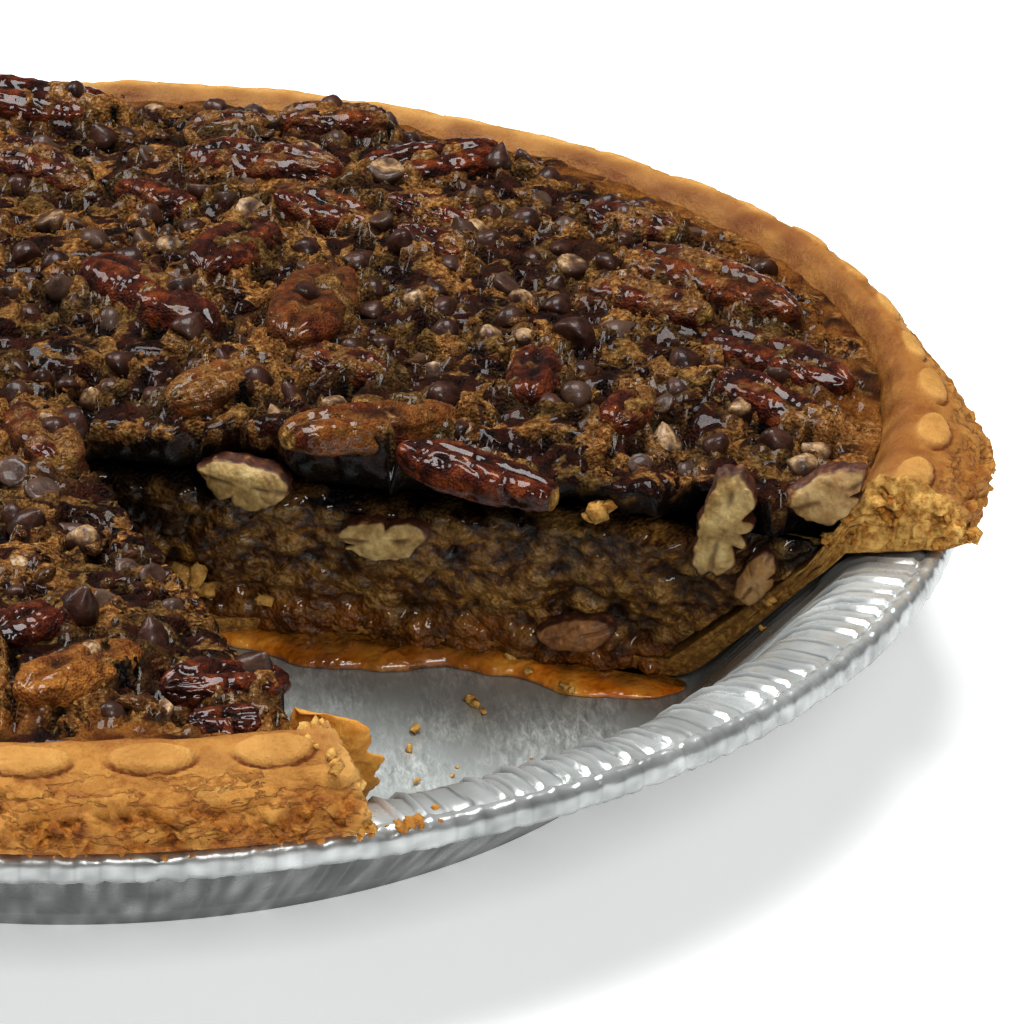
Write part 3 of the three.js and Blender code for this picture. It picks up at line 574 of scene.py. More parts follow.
def foilTin(finish):
    # The profile turned about Z. Panels and kinks press the wall in and out, and the flange up and down.
    draw = np.random.default_rng(tin["seed"])
    (footR, footZ), (headR, headZ), endR = tin["wallFoot"], tin["wallHead"], tin["flange"][0]
    rim, bead, panels = tin["rim"], tin["bead"], tin["panels"]
    r, z = tinProfile()
    bearing = allRound(tin["columns"])
    points = turned(r, bearing, z)
    slope = smooth(r, footR - 1, headR) * (1 - 0.7 * smooth(r, endR, rim - bead))  # how much a place is pleated
    at = bearing * panels / (2 * math.pi) + tin["wander"] * noise(turned(headR, bearing, r * 0.12), 5, 30)
    number, share = np.floor(at).astype(int) % panels, at - np.floor(at)
    rise, ridge = draw.uniform(*tin["rise"], panels), draw.uniform(*tin["ridge"], panels).clip(0)
    lift = rise[number] * (0.5 - share) + ridge[number] * hump(share, tin["ridgeWide"])
    ripple = tin["ripple"] * noise(points * (1, 1, 0.25), 2.6, 31) + tin["swell"] * noise(points * (1, 1, 0.3), 9, 32)
    kinks = tin["kinks"] * rough(points, 2.0, 2, 33) * smooth(r, endR - 2, rim - bead * 2)
    push = (slope * (lift + ripple) + kinks) * smooth(r, 0, 6)
    push += tin["dents"] * noise(points, 16, 34) * smooth(z, 0.2, 2)
    uphill = unit((headR - footR, headZ - footZ))
    tilt = smooth(r, headR - 1, endR)  # 0 on the wall, 1 on the flange
    points = points - turned(1, bearing, 0) * (uphill[1] * (1 - tilt) * push)[..., None]
    points[..., 2] += push * (uphill[0] * (1 - tilt) + tilt)
    points[..., 2] = np.maximum(points[..., 2], 0.0)
    floor = np.broadcast_to(1 - smooth(r, footR - 2, footR + 1), push.shape)
    # Painted shade: the outer wall and underside below the rolled rim in full, its outer face half so.
    paintedShade = np.interp(np.arange(len(r))[:, None], tin["darkRows"], tin["paintedShade"])
    paintedShade = paintedShade * (0.9 + 0.3 * noise(points, 6, 35) + 0.5 * noise(points, 1.7, 36))
    # Painted shade along each fold of the wall and flange, none on the floor.
    fold = hump(share - tin["foldShadeAt"], tin["foldShadeWide"]) * slope * (1 - floor)
    addPiece("tin", points, gridFaces(len(r), tin["columns"], True), finish, ["foil_tin"],
             {"floor": floor, "outside": np.clip(paintedShade, 0, 1), "fold": fold})


# The pastry case.

crust = {  # sections are radius and height, from the floor outwards
    "over": [pie["wallFoot"], pie["wallTop"], pie["lip"]],
    "under": [(77.2, 1.2), (79.8, 2.6), (99.4, 26.4), (111.6, 27.9), (113.8, 29.2)],
    "rim": [(100.8, 34.4), (101.6, 35.9), (103.6, 36.9), (106.6, 36.5), (109.2, 35.4), (112.8, 33.2), (114.4, 31.0),
            (114.3, 29.9), (113.8, 29.2)],
    "floorRadius": 76.5, "floorRows": (0, 0.35, 0.7), "wallRows": 16, "rimRows": 50, "belowRim": 8, "capRows": 36,
    "columns": 940, "closer": 0.4,  # columns stand closer towards the cuts
    "crimps": 50, "crimpRadius": 106, "crimpLong": 4.7, "crimpWide": 2.3, "crimpAt": 6.8, "crimpTall": 0.7,
    "leanOver": 34, "wallFrom": 74, "crumbleOver": 1.6,
    "nearBack": 1.6, "nearBackOver": 5, "nearBackFrom": (70, 84),  # the near cut end stands back from the cut
}


def fanPoints(bearing, r, z):
    # Sections that stand on rays from the tip of the cut: out to radius r, or over the floor by its share.
    dx, dy = np.cos(bearing), np.sin(bearing)
    along = tip[0] * dx + tip[1] * dy
    reach = np.sqrt(along ** 2 + np.maximum(r, crust["floorRadius"]) ** 2 - tip @ tip) - along
    t = reach * np.minimum(r / crust["floorRadius"], 1)
    return xyz(tip[0] + t * dx, tip[1] + t * dy, z)


def rimmed(bearing, profile):  # a profile of the pastry all round, pressed at the back
    r, z = profile[None, :, 0], profile[None, :, 1]
    place = fanPoints(bearing, r, z)
    return fanPoints(bearing, *pressed(r, z, place[..., 0], place[..., 1]))


def leaned(points):  # moves what is low and close to the far cut back with it, the wall along its own round
    x, y, z = points[..., 0], points[..., 1], points[..., 2]
    behind, ahead = fromTip(x, y, farOut), fromTip(x, y, farAlong)
    share = leanAt(z) * (1 - np.clip(behind / crust["leanOver"], 0, 1)) * smooth(ahead, -2, 6)
    moved = points.copy()
    moved[..., :2] += farOut * share[..., None]
    before, after = np.hypot(x, y), np.maximum(np.hypot(moved[..., 0], moved[..., 1]), 1)
    moved[..., :2] *= np.where(before > crust["wallFrom"], before / after, 1)[..., None]
    return moved


def crumbled(grid):  # all that is close to a cut, pushed into the gap by the crumble of the cut's face
    x, y, moved = grid[..., 0], grid[..., 1], grid.copy()
    fine, tag = bubbles(grid, 1.7, 51)
    crumble = rough(grid, 3.0, 3, 51) + (0.5 - fine) * (0.3 + tag)
    for out, along in cuts:
        share = np.exp(-np.abs(fromTip(x, y, out)) / crust["crumbleOver"]) * smooth(fromTip(x, y, along), 2, 8)
        moved[..., :2] -= out * (share * crumble)[..., None]
    return moved


def capAt(first, last, out):  # the face at a cut, between the two sides there, bulging in lumps
    level = np.linspace(0, 1, crust["capRows"])[:, None, None]
    cap = crumbled(first + (last - first) * level)
    lump, tag = bubbles(cap, 1.6, 60)
    fine, fineTag = bubbles(cap, 0.9, 34)
    bulge = 0.3 + 1.4 * rough(cap, 2.2, 3, 53) + 1.7 * (0.5 - lump) * (0.3 + tag) + 0.9 * (0.5 - fine) * fineTag
    bulge = bulge * (0.3 + 0.7 * smooth(cap[..., 2], 5, 12)) * (np.arange(len(first)) > 0)  # none at the tip
    cap[..., :2] -= out * (4 * level * (1 - level)) ** 0.5 * bulge[..., None]
    return cap


def crustSections():  # the two sides of the case, point for point, and the way round the rim from its lip
    floor, wall, below = np.array(crust["floorRows"]) * crust["floorRadius"], crust["wallRows"], crust["belowRim"]
    rim = pathPoints(crust["rim"], crust["rimRows"], 3)
    rimUnder = pathPoints(crust["under"][2:], below + 1)[1:]
    flat = [np.c_[floor, np.full(len(floor), crust[side][0][1])] for side in ("over", "under")]
    over = np.concatenate([flat[0], pathPoints(crust["over"], wall + 1)[:-1], rim])
    under = np.concatenate([
        flat[1], pathPoints(crust["under"][:3], wall), rimUnder[np.arange(len(rim)) * below // len(rim)]])
    steps = np.linalg.norm(np.diff(rim, axis=0), axis=1)
    return over, under, np.r_[np.zeros(len(over) - len(rim)), 0, np.cumsum(steps)][None]


def pastryCase(finish):
    # Sections on rays from the tip, from the far cut round to the near one, closed by a cap at each.
    over, under, arc = crustSections()
    q = np.linspace(0, 1, crust["columns"])[:, None]
    eased = q - crust["closer"] * np.sin(2 * math.pi * q) / (2 * math.pi)
    bearing = farBearing + (nearBearing - farBearing) * eased
    top, under = rimmed(bearing, over), rimmed(bearing, under)

    # The rim: slow wander, crimped pads with a crease at their outer edge, flaky layers towards the foot.
    x, y, atFoot = top[..., 0], top[..., 1], arc.max()
    onRim, onSide, low = smooth(arc, 0, 1.5), smooth(arc, 7.5, 11), smooth(arc, 11.5, 14.5)
    phase = (np.arctan2(y, x) * crust["crimps"] / (2 * math.pi) + 0.5) % 1 - 0.5
    along = phase * 2 * math.pi * crust["crimpRadius"] / crust["crimps"] + 0.5 * noise(top, 6, 41)
    across = arc - crust["crimpAt"] + 0.6 * noise(top, 9, 42)
    oval = np.sqrt((along / crust["crimpLong"]) ** 2 + (across / crust["crimpWide"]) ** 2)
    shown = 1 - 0.75 * atRear(x, y, rear["sinks"])
    pad = crust["crimpTall"] * np.sqrt(np.clip(1 - oval ** 5, 0, 1)) * onRim * shown
    crease = hump(oval - 1.05, 0.06) * smooth(across, -0.2, 1.0) * onRim * shown
    layers = 0.8 * noise(top * (0.3, 0.3, 1.5), 1.9, 40) + 0.5 * noise(top * (0.5, 0.5, 1.6), 0.9, 38)
    step = smooth(layers, -0.03, 0.06) - 0.5  # flakes that end in a step
    holes, tag = bubbles(top, 2.3, 44)
    grit, _ = bubbles(top, 1.5, 37)
    torn = hump(holes, 0.34) * (tag > 0.35)
    eaten = smooth(rough(top * (0.6, 0.6, 1.2), 2.6, 2, 48), -0.2, 0.5)
    push = pad - 0.35 * crease + 0.4 * noise(top, 11, 45) + 0.2 * noise(top, 4, 46) + 0.1 * rough(top, 1.6, 2, 47)
    push += onSide * (1 - low) * (0.35 * step - 0.35 * torn * patches(top, 7, 39, 0.0, 0.3))
    push += low * (0.35 * step - 1.0 * eaten + 0.5 * (0.5 - grit) - 1.0 * torn)
    behind = np.maximum(behindCut(x, y), 0)
    atEnds, atCut = np.exp(-behind / 3) * onRim * (1 - low), np.exp(-behind / 2.0) * onRim
    push += atEnds * (0.9 * rough(top, 2.2, 3, 36) + 0.25)
    push *= onRim ** 2 * (1 - smooth(arc, atFoot - 0.9, atFoot - 0.05))
    normal = gridNormals(top)
    top = top + normal * push[..., None]
    fray = smooth(arc, 13, 16.5) * (1 - smooth(arc, atFoot - 0.7, atFoot - 0.05))
    top[..., 2] += fray * (1.3 * rough(top, 3.0, 3, 49) - 0.9 * (0.5 - grit))

    top, under = leaned(top), leaned(under)
    for grid in (top, under):
        behind, ahead = (fromTip(grid[..., 0], grid[..., 1], way) for way in (nearOut, nearAlong))
        share = np.exp(-np.maximum(behind, 0) / crust["nearBackOver"]) * smooth(ahead, *crust["nearBackFrom"])
        grid[..., :2] += nearOut * (crust["nearBack"] * share)[..., None]
    farCap, nearCap = capAt(under[0], top[0], farOut), capAt(under[-1], top[-1], nearOut)
    top, under = crumbled(top), crumbled(under)

    # Colour: painted shade in the creases and cracks, toasted heights, darker where it faces up and more so towards
    # +X, pale crimps and ends, caramel over the lip, a crumbly foot.
    # Painted shade under the flake steps and in the torn holes of the foot.
    crack = np.clip(0.6 * (0.5 - step) * onSide + torn * low, 0, 1)
    toastAndShade = 0.75 * crease + 0.3 * crack + 0.3 * smooth(rough(top, 7, 3, 56), 0.1, 0.6) * onRim
    toastAndShade -= 0.5 * smooth(oval, 1.0, 0.8) * onRim
    toastAndShade += (0.22 + 0.35 * smooth(top[..., 0], 55, 95)) * smooth(normal[..., 2], 0.7, 1.0) * shown
    pale = (0.55 * smooth(oval, 1.03, 0.95) * shown + 0.6 * atEnds + 0.8 * atCut + (1 - shown)) * onRim
    lipStain = (1 - smooth(arc, 1.5, 5.5 + 1.5 * noise(top, 12, 54))) * (0.6 + 0.4 * noise(top, 5, 55))
    above = {
        "toastAndShade": np.clip(toastAndShade * (1 - 0.7 * atCut), 0, 1), "pale": np.clip(pale, 0, 1), "flaky": 0.65 * onSide,
        "crimp": np.clip(np.where(onRim > 0.5, oval + 2 * (1 - shown), 0), 0, 3), "stain": np.clip(lipStain, 0, 1),
        "crumb": low * patches(top, 3, 57, -0.4, 0.3) * (1 - 0.5 * step) * (1 - 0.8 * atCut),
    }
    # The darkest underside is painted shade.
    below, broken = {"toastAndShade": 0.9, "crumb": 0.9}, {"inner": 1.0}  # the underside is darkest
    points, faces, marks = [], [], {}
    for grid, turn, own, soak in ((top, 1, above, 1), (under, -1, below, 1), (farCap, 1, broken, 0.9),
                                  (nearCap, -1, broken, 0.9)):
        faces.append(gridFaces(*grid.shape[:2])[:, ::turn] + sum(len(p) for p in points))
        points.append(grid.reshape(-1, 3))
        z = grid[..., 2]
        amber = 0.9 * patches(grid, 5, 59, -0.6, 0.1) * (1 - smooth(z, 3, 7))
        soaked = soak * (1 - smooth(z + 2 * noise(grid, 4, 58), 20, 28))
        for key in (*above, *broken, "amber", "soaked"):
            values = {**own, "amber": amber, "soaked": soaked}.get(key, 0.0)
            marks.setdefault(key, []).append(np.broadcast_to(values, z.shape).ravel())
    marks = {key: np.concatenate(values) for key, values in marks.items()}
    addPiece("pastry_case", np.concatenate(points), np.concatenate(faces), finish, ["crust"], marks)


# Filling, seen at the two cuts.

custard = {
    "foot": 2.0, "head": 27.0, "setback": 1.6, "footOut": 2.6, "crevice": 4.2, "creviceFrom": 23.5,
    "endFrom": (72, 93), "rows": 90, "alongCut": 330, "roundBack": 150,
}


def toPastry(along, z):  # how far the pastry's inner face is from the tip of the cut
    ahead = along @ tip
    return np.sqrt(ahead ** 2 + (pastryInside(z) - pie["seam"]) ** 2 - tip @ tip) - ahead


def cutWall(n, z, setback):
    # A place on the two cut faces at a share n: 0 to 1 comes in along the near cut, 1 to 2 goes out along the far.
    half = math.acos(float(nearAlong @ farAlong)) / 2
    first = -setback / math.tan(half)
    near = (n < 1)[..., None]
    along, out = np.where(near, nearAlong, farAlong), np.where(near, nearOut, farOut)
    s = first + np.abs(n - 1) * (toPastry(along, z) - first)
    flat = tip + along * s[..., None] + out * setback[..., None]
    return np.concatenate([flat, np.broadcast_to(z, s.shape)[..., None]], -1), s, out


def fillingBody(finish):
    # A wall round the filling, rows by height: along the near cut, the far cut, and back round inside the pastry.
    z = np.linspace(custard["foot"], custard["head"], custard["rows"])[:, None]
    n = np.linspace(0, 2, custard["alongCut"] * 2)[None, :] + 0 * z
    atEnd = smooth((n - 1) * toPastry(farAlong, z), *custard["endFrom"])  # beside the pastry it comes forward
    crevice = custard["crevice"] * smooth(z, custard["creviceFrom"], custard["head"]) ** 1.5 * (1 - 0.85 * atEnd)
    setback = custard["setback"] * (1 - atEnd) - custard["footOut"] * (1 - smooth(z, 4, 9)) + crevice
    face, s, out = cutWall(n, z, setback)
    face[..., :2] += farOut * (leanAt(z) * smooth(s, 0, 8) * (n > 1))[..., None]

    # Relief: curds of three sizes, a slow and a fine roughness, and cracks.
    curd, tag = bubbles(face, 3.8, 61)
    second, secondTag = bubbles(face + 40, 2.2, 66)
    grain, _ = bubbles(face, 1.3, 62)
    relief = 2.0 * (0.62 - curd) * (0.25 + tag) + 1.0 * (0.55 - second) * (0.2 + secondTag) + 0.4 * (0.5 - grain)
    relief += 1.2 * rough(face, 9, 2, 63) + 0.3 * rough(face, 1.2, 2, 64)
    relief -= 0.4 * creases(face, 7, 67, 0.02, 0.14)
    relief = relief * smooth(s, -3, 6)
    face[..., :2] -= out * relief[..., None]
    room = pastryInside(z) - pie["seam"]
    face[..., :2] *= np.minimum(1, room / np.hypot(face[..., 0], face[..., 1]))[..., None]

    ends = [math.atan2(face[0, k, 1], face[0, k, 0]) for k in (-1, 0)]
    bearing = np.linspace(ends[0], ends[1] + 2 * math.pi, custard["roundBack"])[None, 1:-1]
    points = np.concatenate([face, turned(room, bearing, z)], 1)
    wetFoot = 1 - smooth(z + 3 * noise(face, 5, 68), 5, 9.5)
    right = smooth(s, 40, 95) * (n > 1)
    # Painted shade: in the hollows, in a band under the baked top's overhang and in the corner at the tip.
    lump, hollowShade = smooth(curd, 0.62, 0.25) * smooth(tag, 0.15, 0.7), smooth(relief, 0.1, -0.9)
    pale = (0.6 + 0.4 * right) * lump * smooth(s, 4, 26) + 0.35 * right * smooth(second, 0.5, 0.2)
    paintedShade = 0.8 * smooth(z + 3 * noise(face, 6, 69), 21, 27) * (1 - 0.7 * right) + 0.75 * hollowShade
    paintedShade += 0.25 * (1 - smooth(s, 5, 35))
    marks = {
        "pale": np.clip(pale, 0, 1), "paintedShade": np.clip(paintedShade, 0, 1) * (1 - 0.7 * wetFoot),
        "amber": 0.9 * wetFoot * patches(face, 6, 65, -0.7, -0.1),
    }
    for key, values in marks.items():  # none round the back, and the lowest and highest row again for the hubs
        marks[key] = np.pad(np.pad(values, ((0, 0), (0, bearing.size))), ((1, 1), (0, 0)), "edge")
    hubs = [np.broadcast_to((*behindTip, z[k, 0]), (1, points.shape[1], 3)) for k in (0, -1)]
    points = np.concatenate([hubs[0], points, hubs[1]])
    faces = gridFaces(len(points), points.shape[1], True)
    addPiece("filling_body", points, faces, finish, ["filling"], marks)


# Pecans.

pecan = {
    "rows": 66, "columns": 72, "wrinkles": 5, "seed": 900,
    # by number: the share of its length that is broken off, how golden it is, how much foam lies on it
    "broken": {"17": 0.12, "18": 0.2, "19": 0.1, "25": 0.2, "22": 0.15, "10": 0.15},
    "golden": {"17": 0.5, "18": 0.35, "23": 0.9, "12": 0.1, "08": 0.2},
    "filmed": {"18": 0.9, "17": 0.55, "12": 0.55, "19": 0.12, "23": 0.2, "24": 0.1, "25": 0.05, "09": 0.25,
               "07": 0.5, "06": 0.2, "14": 0.35},
    "towardsCut": "17",  # its broken end points to the cut
}
nutNodes = sorted(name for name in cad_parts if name.startswith("pecan_"))


def nutFrame(name):
    # Where a pecan lies: the middle of its solid, its long, cross and upward axes, and its reach along each.
    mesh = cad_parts[name].data
    corners = np.zeros(len(mesh.vertices) * 3, np.float32)
    mesh.vertices.foreach_get("co", corners)
    corners = np.unique(np.round(corners.reshape(-1, 3) / mm, 3), axis=0)
    middle = corners.mean(0)
    _, _, axes = np.linalg.svd(corners - middle)
    long_, cross = axes[0], axes[1]
    up = np.cross(long_, cross)
    if up[2] < 0:
        cross, up = -cross, -up
    turn = np.stack([long_, cross, up], 1)
    local = (corners - middle) @ turn
    low, high = local.min(0), local.max(0)
    return middle + turn @ ((low + high) / 2), turn, (high - low) / 2


def nutSurface(half, seed, broken=0.0):
    # Two crowned lobes with a groove between, wrinkled lengthwise and pitted: u end to end, v round the section.
    u = np.linspace(-1, 1, pecan["rows"])[:, None]
    v = allRound(pecan["columns"])
    snap = 1 - broken  # past this share of its length, a broken nut ends in a rough face
    shown = np.minimum(u, snap)
    inward = np.clip((u - snap) / max(broken, 1e-6), 0, 1) if broken else 0 * u
    size = np.sqrt(np.clip(1 - np.abs(shown) ** 2.6, 0, 1)) * (1 - 0.08 * shown) * (1 - inward)
    c, s = np.cos(v), np.sin(v)
    span = np.sign(c) * np.abs(c) ** 0.9
    dome = np.where(s > 0, np.abs(s) ** 0.75, -0.9 * np.abs(s) ** 0.6)
    cleft = hump(c, 0.16) * (s > 0) * (0.5 + 0.5 * np.cos(np.clip(shown, -0.9, 0.9) * 1.2))
    place = xyz(shown * half[0], span * half[1] * size, dome * half[2] * size) + np.array((37.1, 11.3, 5.7)) * seed
    wave = np.abs(np.sin(pecan["wrinkles"] * v * 0.5 + noise(place, 4, 3) * 2.2 + 2.2 * u * np.cos(v)))
    furrow = hump(wave, 0.4) * (s > -0.35) * smooth(size, 0.15, 0.5) * patches(place, 4, 8, -0.3, 0.3)
    across = creases(place * (1.3, 0.5, 0.5), 3.6, 9, 0.01, 0.08)  # short creases over the lobes
    pucker = noise(place * (0.6, 1, 1), 3.4, 4)
    fine = rough(place, 1.2, 2, 5)
    pits, tag = bubbles(place, 1.4, 10)
    pitted = (1 - smooth(pits, 0.15, 0.4)) * (tag > 0.5)
    swell = -0.4 * furrow - 0.2 * across + 0.5 * pucker + 0.13 * fine - 0.16 * pitted
    thick = 1 - 0.3 * cleft
    x = shown * half[0] * (1 + 0 * v) + inward * (0.5 * rough(place * 1.3, 2, 2, 6) + 0.3) + 0.25 * fine
    y = half[1] * span * size * 0.95 + c * swell * smooth(size, 0, 0.4)
    z = half[2] * dome * size ** 0.75 * thick * 0.93 + s * swell * smooth(size, 0, 0.4)
    z = np.where(size <= 1e-6, half[2] * -0.2, z)
    marks = {
        # Painted shade in the furrows, cleft, creases and pits, and where the skin dips.
        "groove": np.clip(furrow * 0.6 + cleft * 0.7 - pucker * 0.4 + 0.35 * across + 0.3 * pitted, 0, 1),
        "flesh": np.broadcast_to(smooth(inward, 0.02, 0.12), z.shape) * np.clip(0.75 + 0.5 * fine, 0, 1),
        "upward": np.clip(s + 0 * u, 0, 1) ** 0.7,
    }
    return xyz(x, y, z), marks


def pecanHalves(finish):  # a surface for each pecan, laid where its solid lies
    draw = np.random.default_rng(pecan["seed"])
    faces = gridFaces(pecan["rows"], pecan["columns"], True)
    for n, name in enumerate(nutNodes):
        (middle, turn, half), number = nutPlaces[n], name[-2:]
        broken = pecan["broken"].get(number, draw.choice((0, 0, 0, 0.12, 0.2)))
        if number == pecan["towardsCut"] and turn[1, 0] > 0:
            turn = turn * (-1, -1, 1)
        points, marks = nutSurface(half, n + 1, broken)
        points = points @ turn.T + middle
        dusty = pecan["filmed"].get(number, draw.uniform(0.3, 0.85))
        cloud = noise(points, 3.4, 71) + 0.6 * noise(points, 1.2, 73)
        film = smooth(cloud, 0.7 - 1.2 * dusty, 1.1 - 1.2 * dusty)
        marks["film"] = film * marks.pop("upward") * (0.4 + 0.6 * dusty)
        marks["golden"] = pecan["golden"].get(number, 0) * patches(points, 5, 72, -0.6, 0.1)
        addPiece("nut_" + number, points, faces, finish, [name], marks)


# Pecans that the knife went through.

slicedNut = {
    "proud": 1.6, "depth": 4.0, "rings": 30, "columns": 150,
    # side, distance along the cut, height, half length, half height, lean and notches in degrees, share of brown
    "nuts": (
        ("far", 24.5, 27.8, 6.0, 3.2, -8, (250,), 0), ("far", 41.5, 21.7, 5.8, 2.7, 8, (75, 200), 0),
        ("far", 83.6, 29.2, 8.0, 3.4, 78, (240, 263, 286), 0), ("far", 87.8, 21.6, 4.2, 2.1, 62, (300,), 0.6),
        ("far", 96.0, 34.3, 5.2, 3.2, 28, (330,), 0.35), ("far", 65, 8, 4.8, 2.3, 14, (), 0.9),
        ("near", 34, 23.5, 5.6, 3.0, 20, (100,), 0), ("near", 62, 15, 6.2, 2.8, -15, (80, 250), 0),
    ),
}


def slicedNuts(finish):
    # The face is rings about a lobed outline, bulging a little; the skin then runs back into the filling.
    rings, deep = slicedNut["rings"], slicedNut["depth"]
    a = allRound(slicedNut["columns"])
    ring = np.r_[np.linspace(0, 1, rings), 1.04, 1.05, 1.04, 1.0, 0.94, 0.84, 0.5, 0][:, None]
    depth = np.r_[np.zeros(rings), -0.4, -1.0, -1.8, -2.6, -3.3, -deep, -deep - 0.5, -deep - 0.7][:, None]
    isFace, skinned = depth > -0.1, (depth < -0.6) & (depth > -deep - 0.3)
    faces = gridFaces(len(ring), a.size, True)[:, ::-1]
    for n, (side, s, z, long_, tall, lean, notches, roast) in enumerate(slicedNut["nuts"]):
        (out, along), back, way = (cuts[0], leanAt(z), 1) if side == "far" else (cuts[1], 0.0, -1)
        place = tip + along * s + out * (back - slicedNut["proud"])
        notch = sum((0.4 * hump(np.sin((a - math.radians(at)) / 2), 0.045) for at in notches), 0 * a)
        cx, cy = np.cos(a) * long_, np.sin(a) * tall * 1.04 + 0.06 * long_ * np.cos(2 * a)
        key = xyz(cx * ring, cy * ring, n * 31)
        swell = (1 - notch * ring ** 3) * (1 + (0.16 * noise(key, 3.0, 81) + 0.1 * noise(key, 1.3, 80) - 0.08) * ring)
        px, py = cx * ring * swell, cy * ring * swell
        # The two halves of the kernel meet in a furrow; folds run in from the outline.
        flat = xyz(px, py, n * 31)
        fold = 0.3 * creases(flat * (1, 0.7, 1), 4.2, 79, 0.01, 0.07) * smooth(ring, 0.3, 0.8)
        furrow = hump(py + 0.25 * noise(flat, 2, 78), 0.1 * tall) * smooth(ring, 0.1, 0.35)
        furrow = furrow * patches(flat, 3, 75, -0.3, 0.1)
        bulge = 0.9 * (1 - ring ** 3) + 0.25 * noise(flat, 2.2, 77) + 0.12 * rough(flat, 1.0, 2, 82)
        bulge = depth + (bulge - 0.4 * fold - 0.35 * furrow) * isFace
        px = px * (1 + 0.12 * skinned * noise(flat + depth[..., None], 1.8, 74))
        py = py * (1 + 0.2 * skinned * noise(flat + depth[..., None], 1.8, 73))
        c, s = math.cos(math.radians(lean)), math.sin(math.radians(lean))
        px, py = px * c - py * s, px * s + py * c
        points = place + along * way * px[..., None] - out * bulge[..., None]
        points = np.concatenate([points, (z + py)[..., None]], -1)
        skin = smooth(ring + 0.05 * noise(flat, 1.4, 76) * isFace, 0.93, 1.0) + (depth < -0.1)
        # Painted shade in the folds, the furrow and the notches.
        groove = np.clip(0.9 * fold + 0.7 * furrow + notch * ring ** 2 * 2, 0, 1) * isFace
        marks = {"skin": np.clip(skin, 0, 1), "groove": groove, "roast": roast}
        addPiece(f"sliced_nut_{n + 1}", points, faces, finish, [f"cut_pecan_{n + 1}"], marks)


# Baked top.

bakedTop = {
    "pitch": 0.575, "span": 101, "near": 1.8, "far": -2.0, "radius": 100.0, "underside": 27.5, "wallRows": 8,
    "undercut": 3.8, "besidePastry": (72, 90), "crustFrom": (94, 99.5),
    # where sliced pecans break the far edge: distance along the cut, half width, how far back
    "breaks": ((24, 6.5, 3.8), (82.5, 5.5, 5.0), (95, 4.5, 3.5), (66, 4, 2.5)),
}


def nutHeights(x, y):
    # The height of the pecans above their bed at a place, and the distance to the nearest one's edge.
    rise, nearest = np.full(np.shape(x), -9.0), np.full(np.shape(x), 99.0)
    for middle, turn, half in nutPlaces:
        dx, dy = x - middle[0], y - middle[1]
        along = (dx * turn[0, 0] + dy * turn[1, 0]) / half[0]
        across = (dx * turn[0, 1] + dy * turn[1, 1]) / half[1]
        e = np.sqrt(np.abs(along) ** 2.4 + across ** 2)
        dome = middle[2] + half[2] * 0.9 * np.sqrt(np.clip(1 - e ** 2, 0, 1))
        rise = np.where(e < 1, np.maximum(rise, dome), rise)
        nearest = np.minimum(nearest, (e - 1) * half[1])
    return rise, nearest


def topEdge(x, y):  # how far inside the ragged outline of the baked top a place is
    flat = xyz(x, y, 0)
    ragged = 1.3 * noise(flat, 9, 91) + 0.8 * noise(flat, 3.4, 92) + 0.35 * noise(flat, 1.4, 93)
    near, far = fromTip(x, y, nearOut) - bakedTop["near"], fromTip(x, y, farOut) - bakedTop["far"]
    for s, wide, back in bakedTop["breaks"]:
        far = far - back * np.exp(-((fromTip(x, y, farAlong) - s) / wide) ** 4)
    return np.minimum(np.maximum(near, far) + ragged, bakedTop["radius"] - np.hypot(x, y) + 0.3 * ragged)


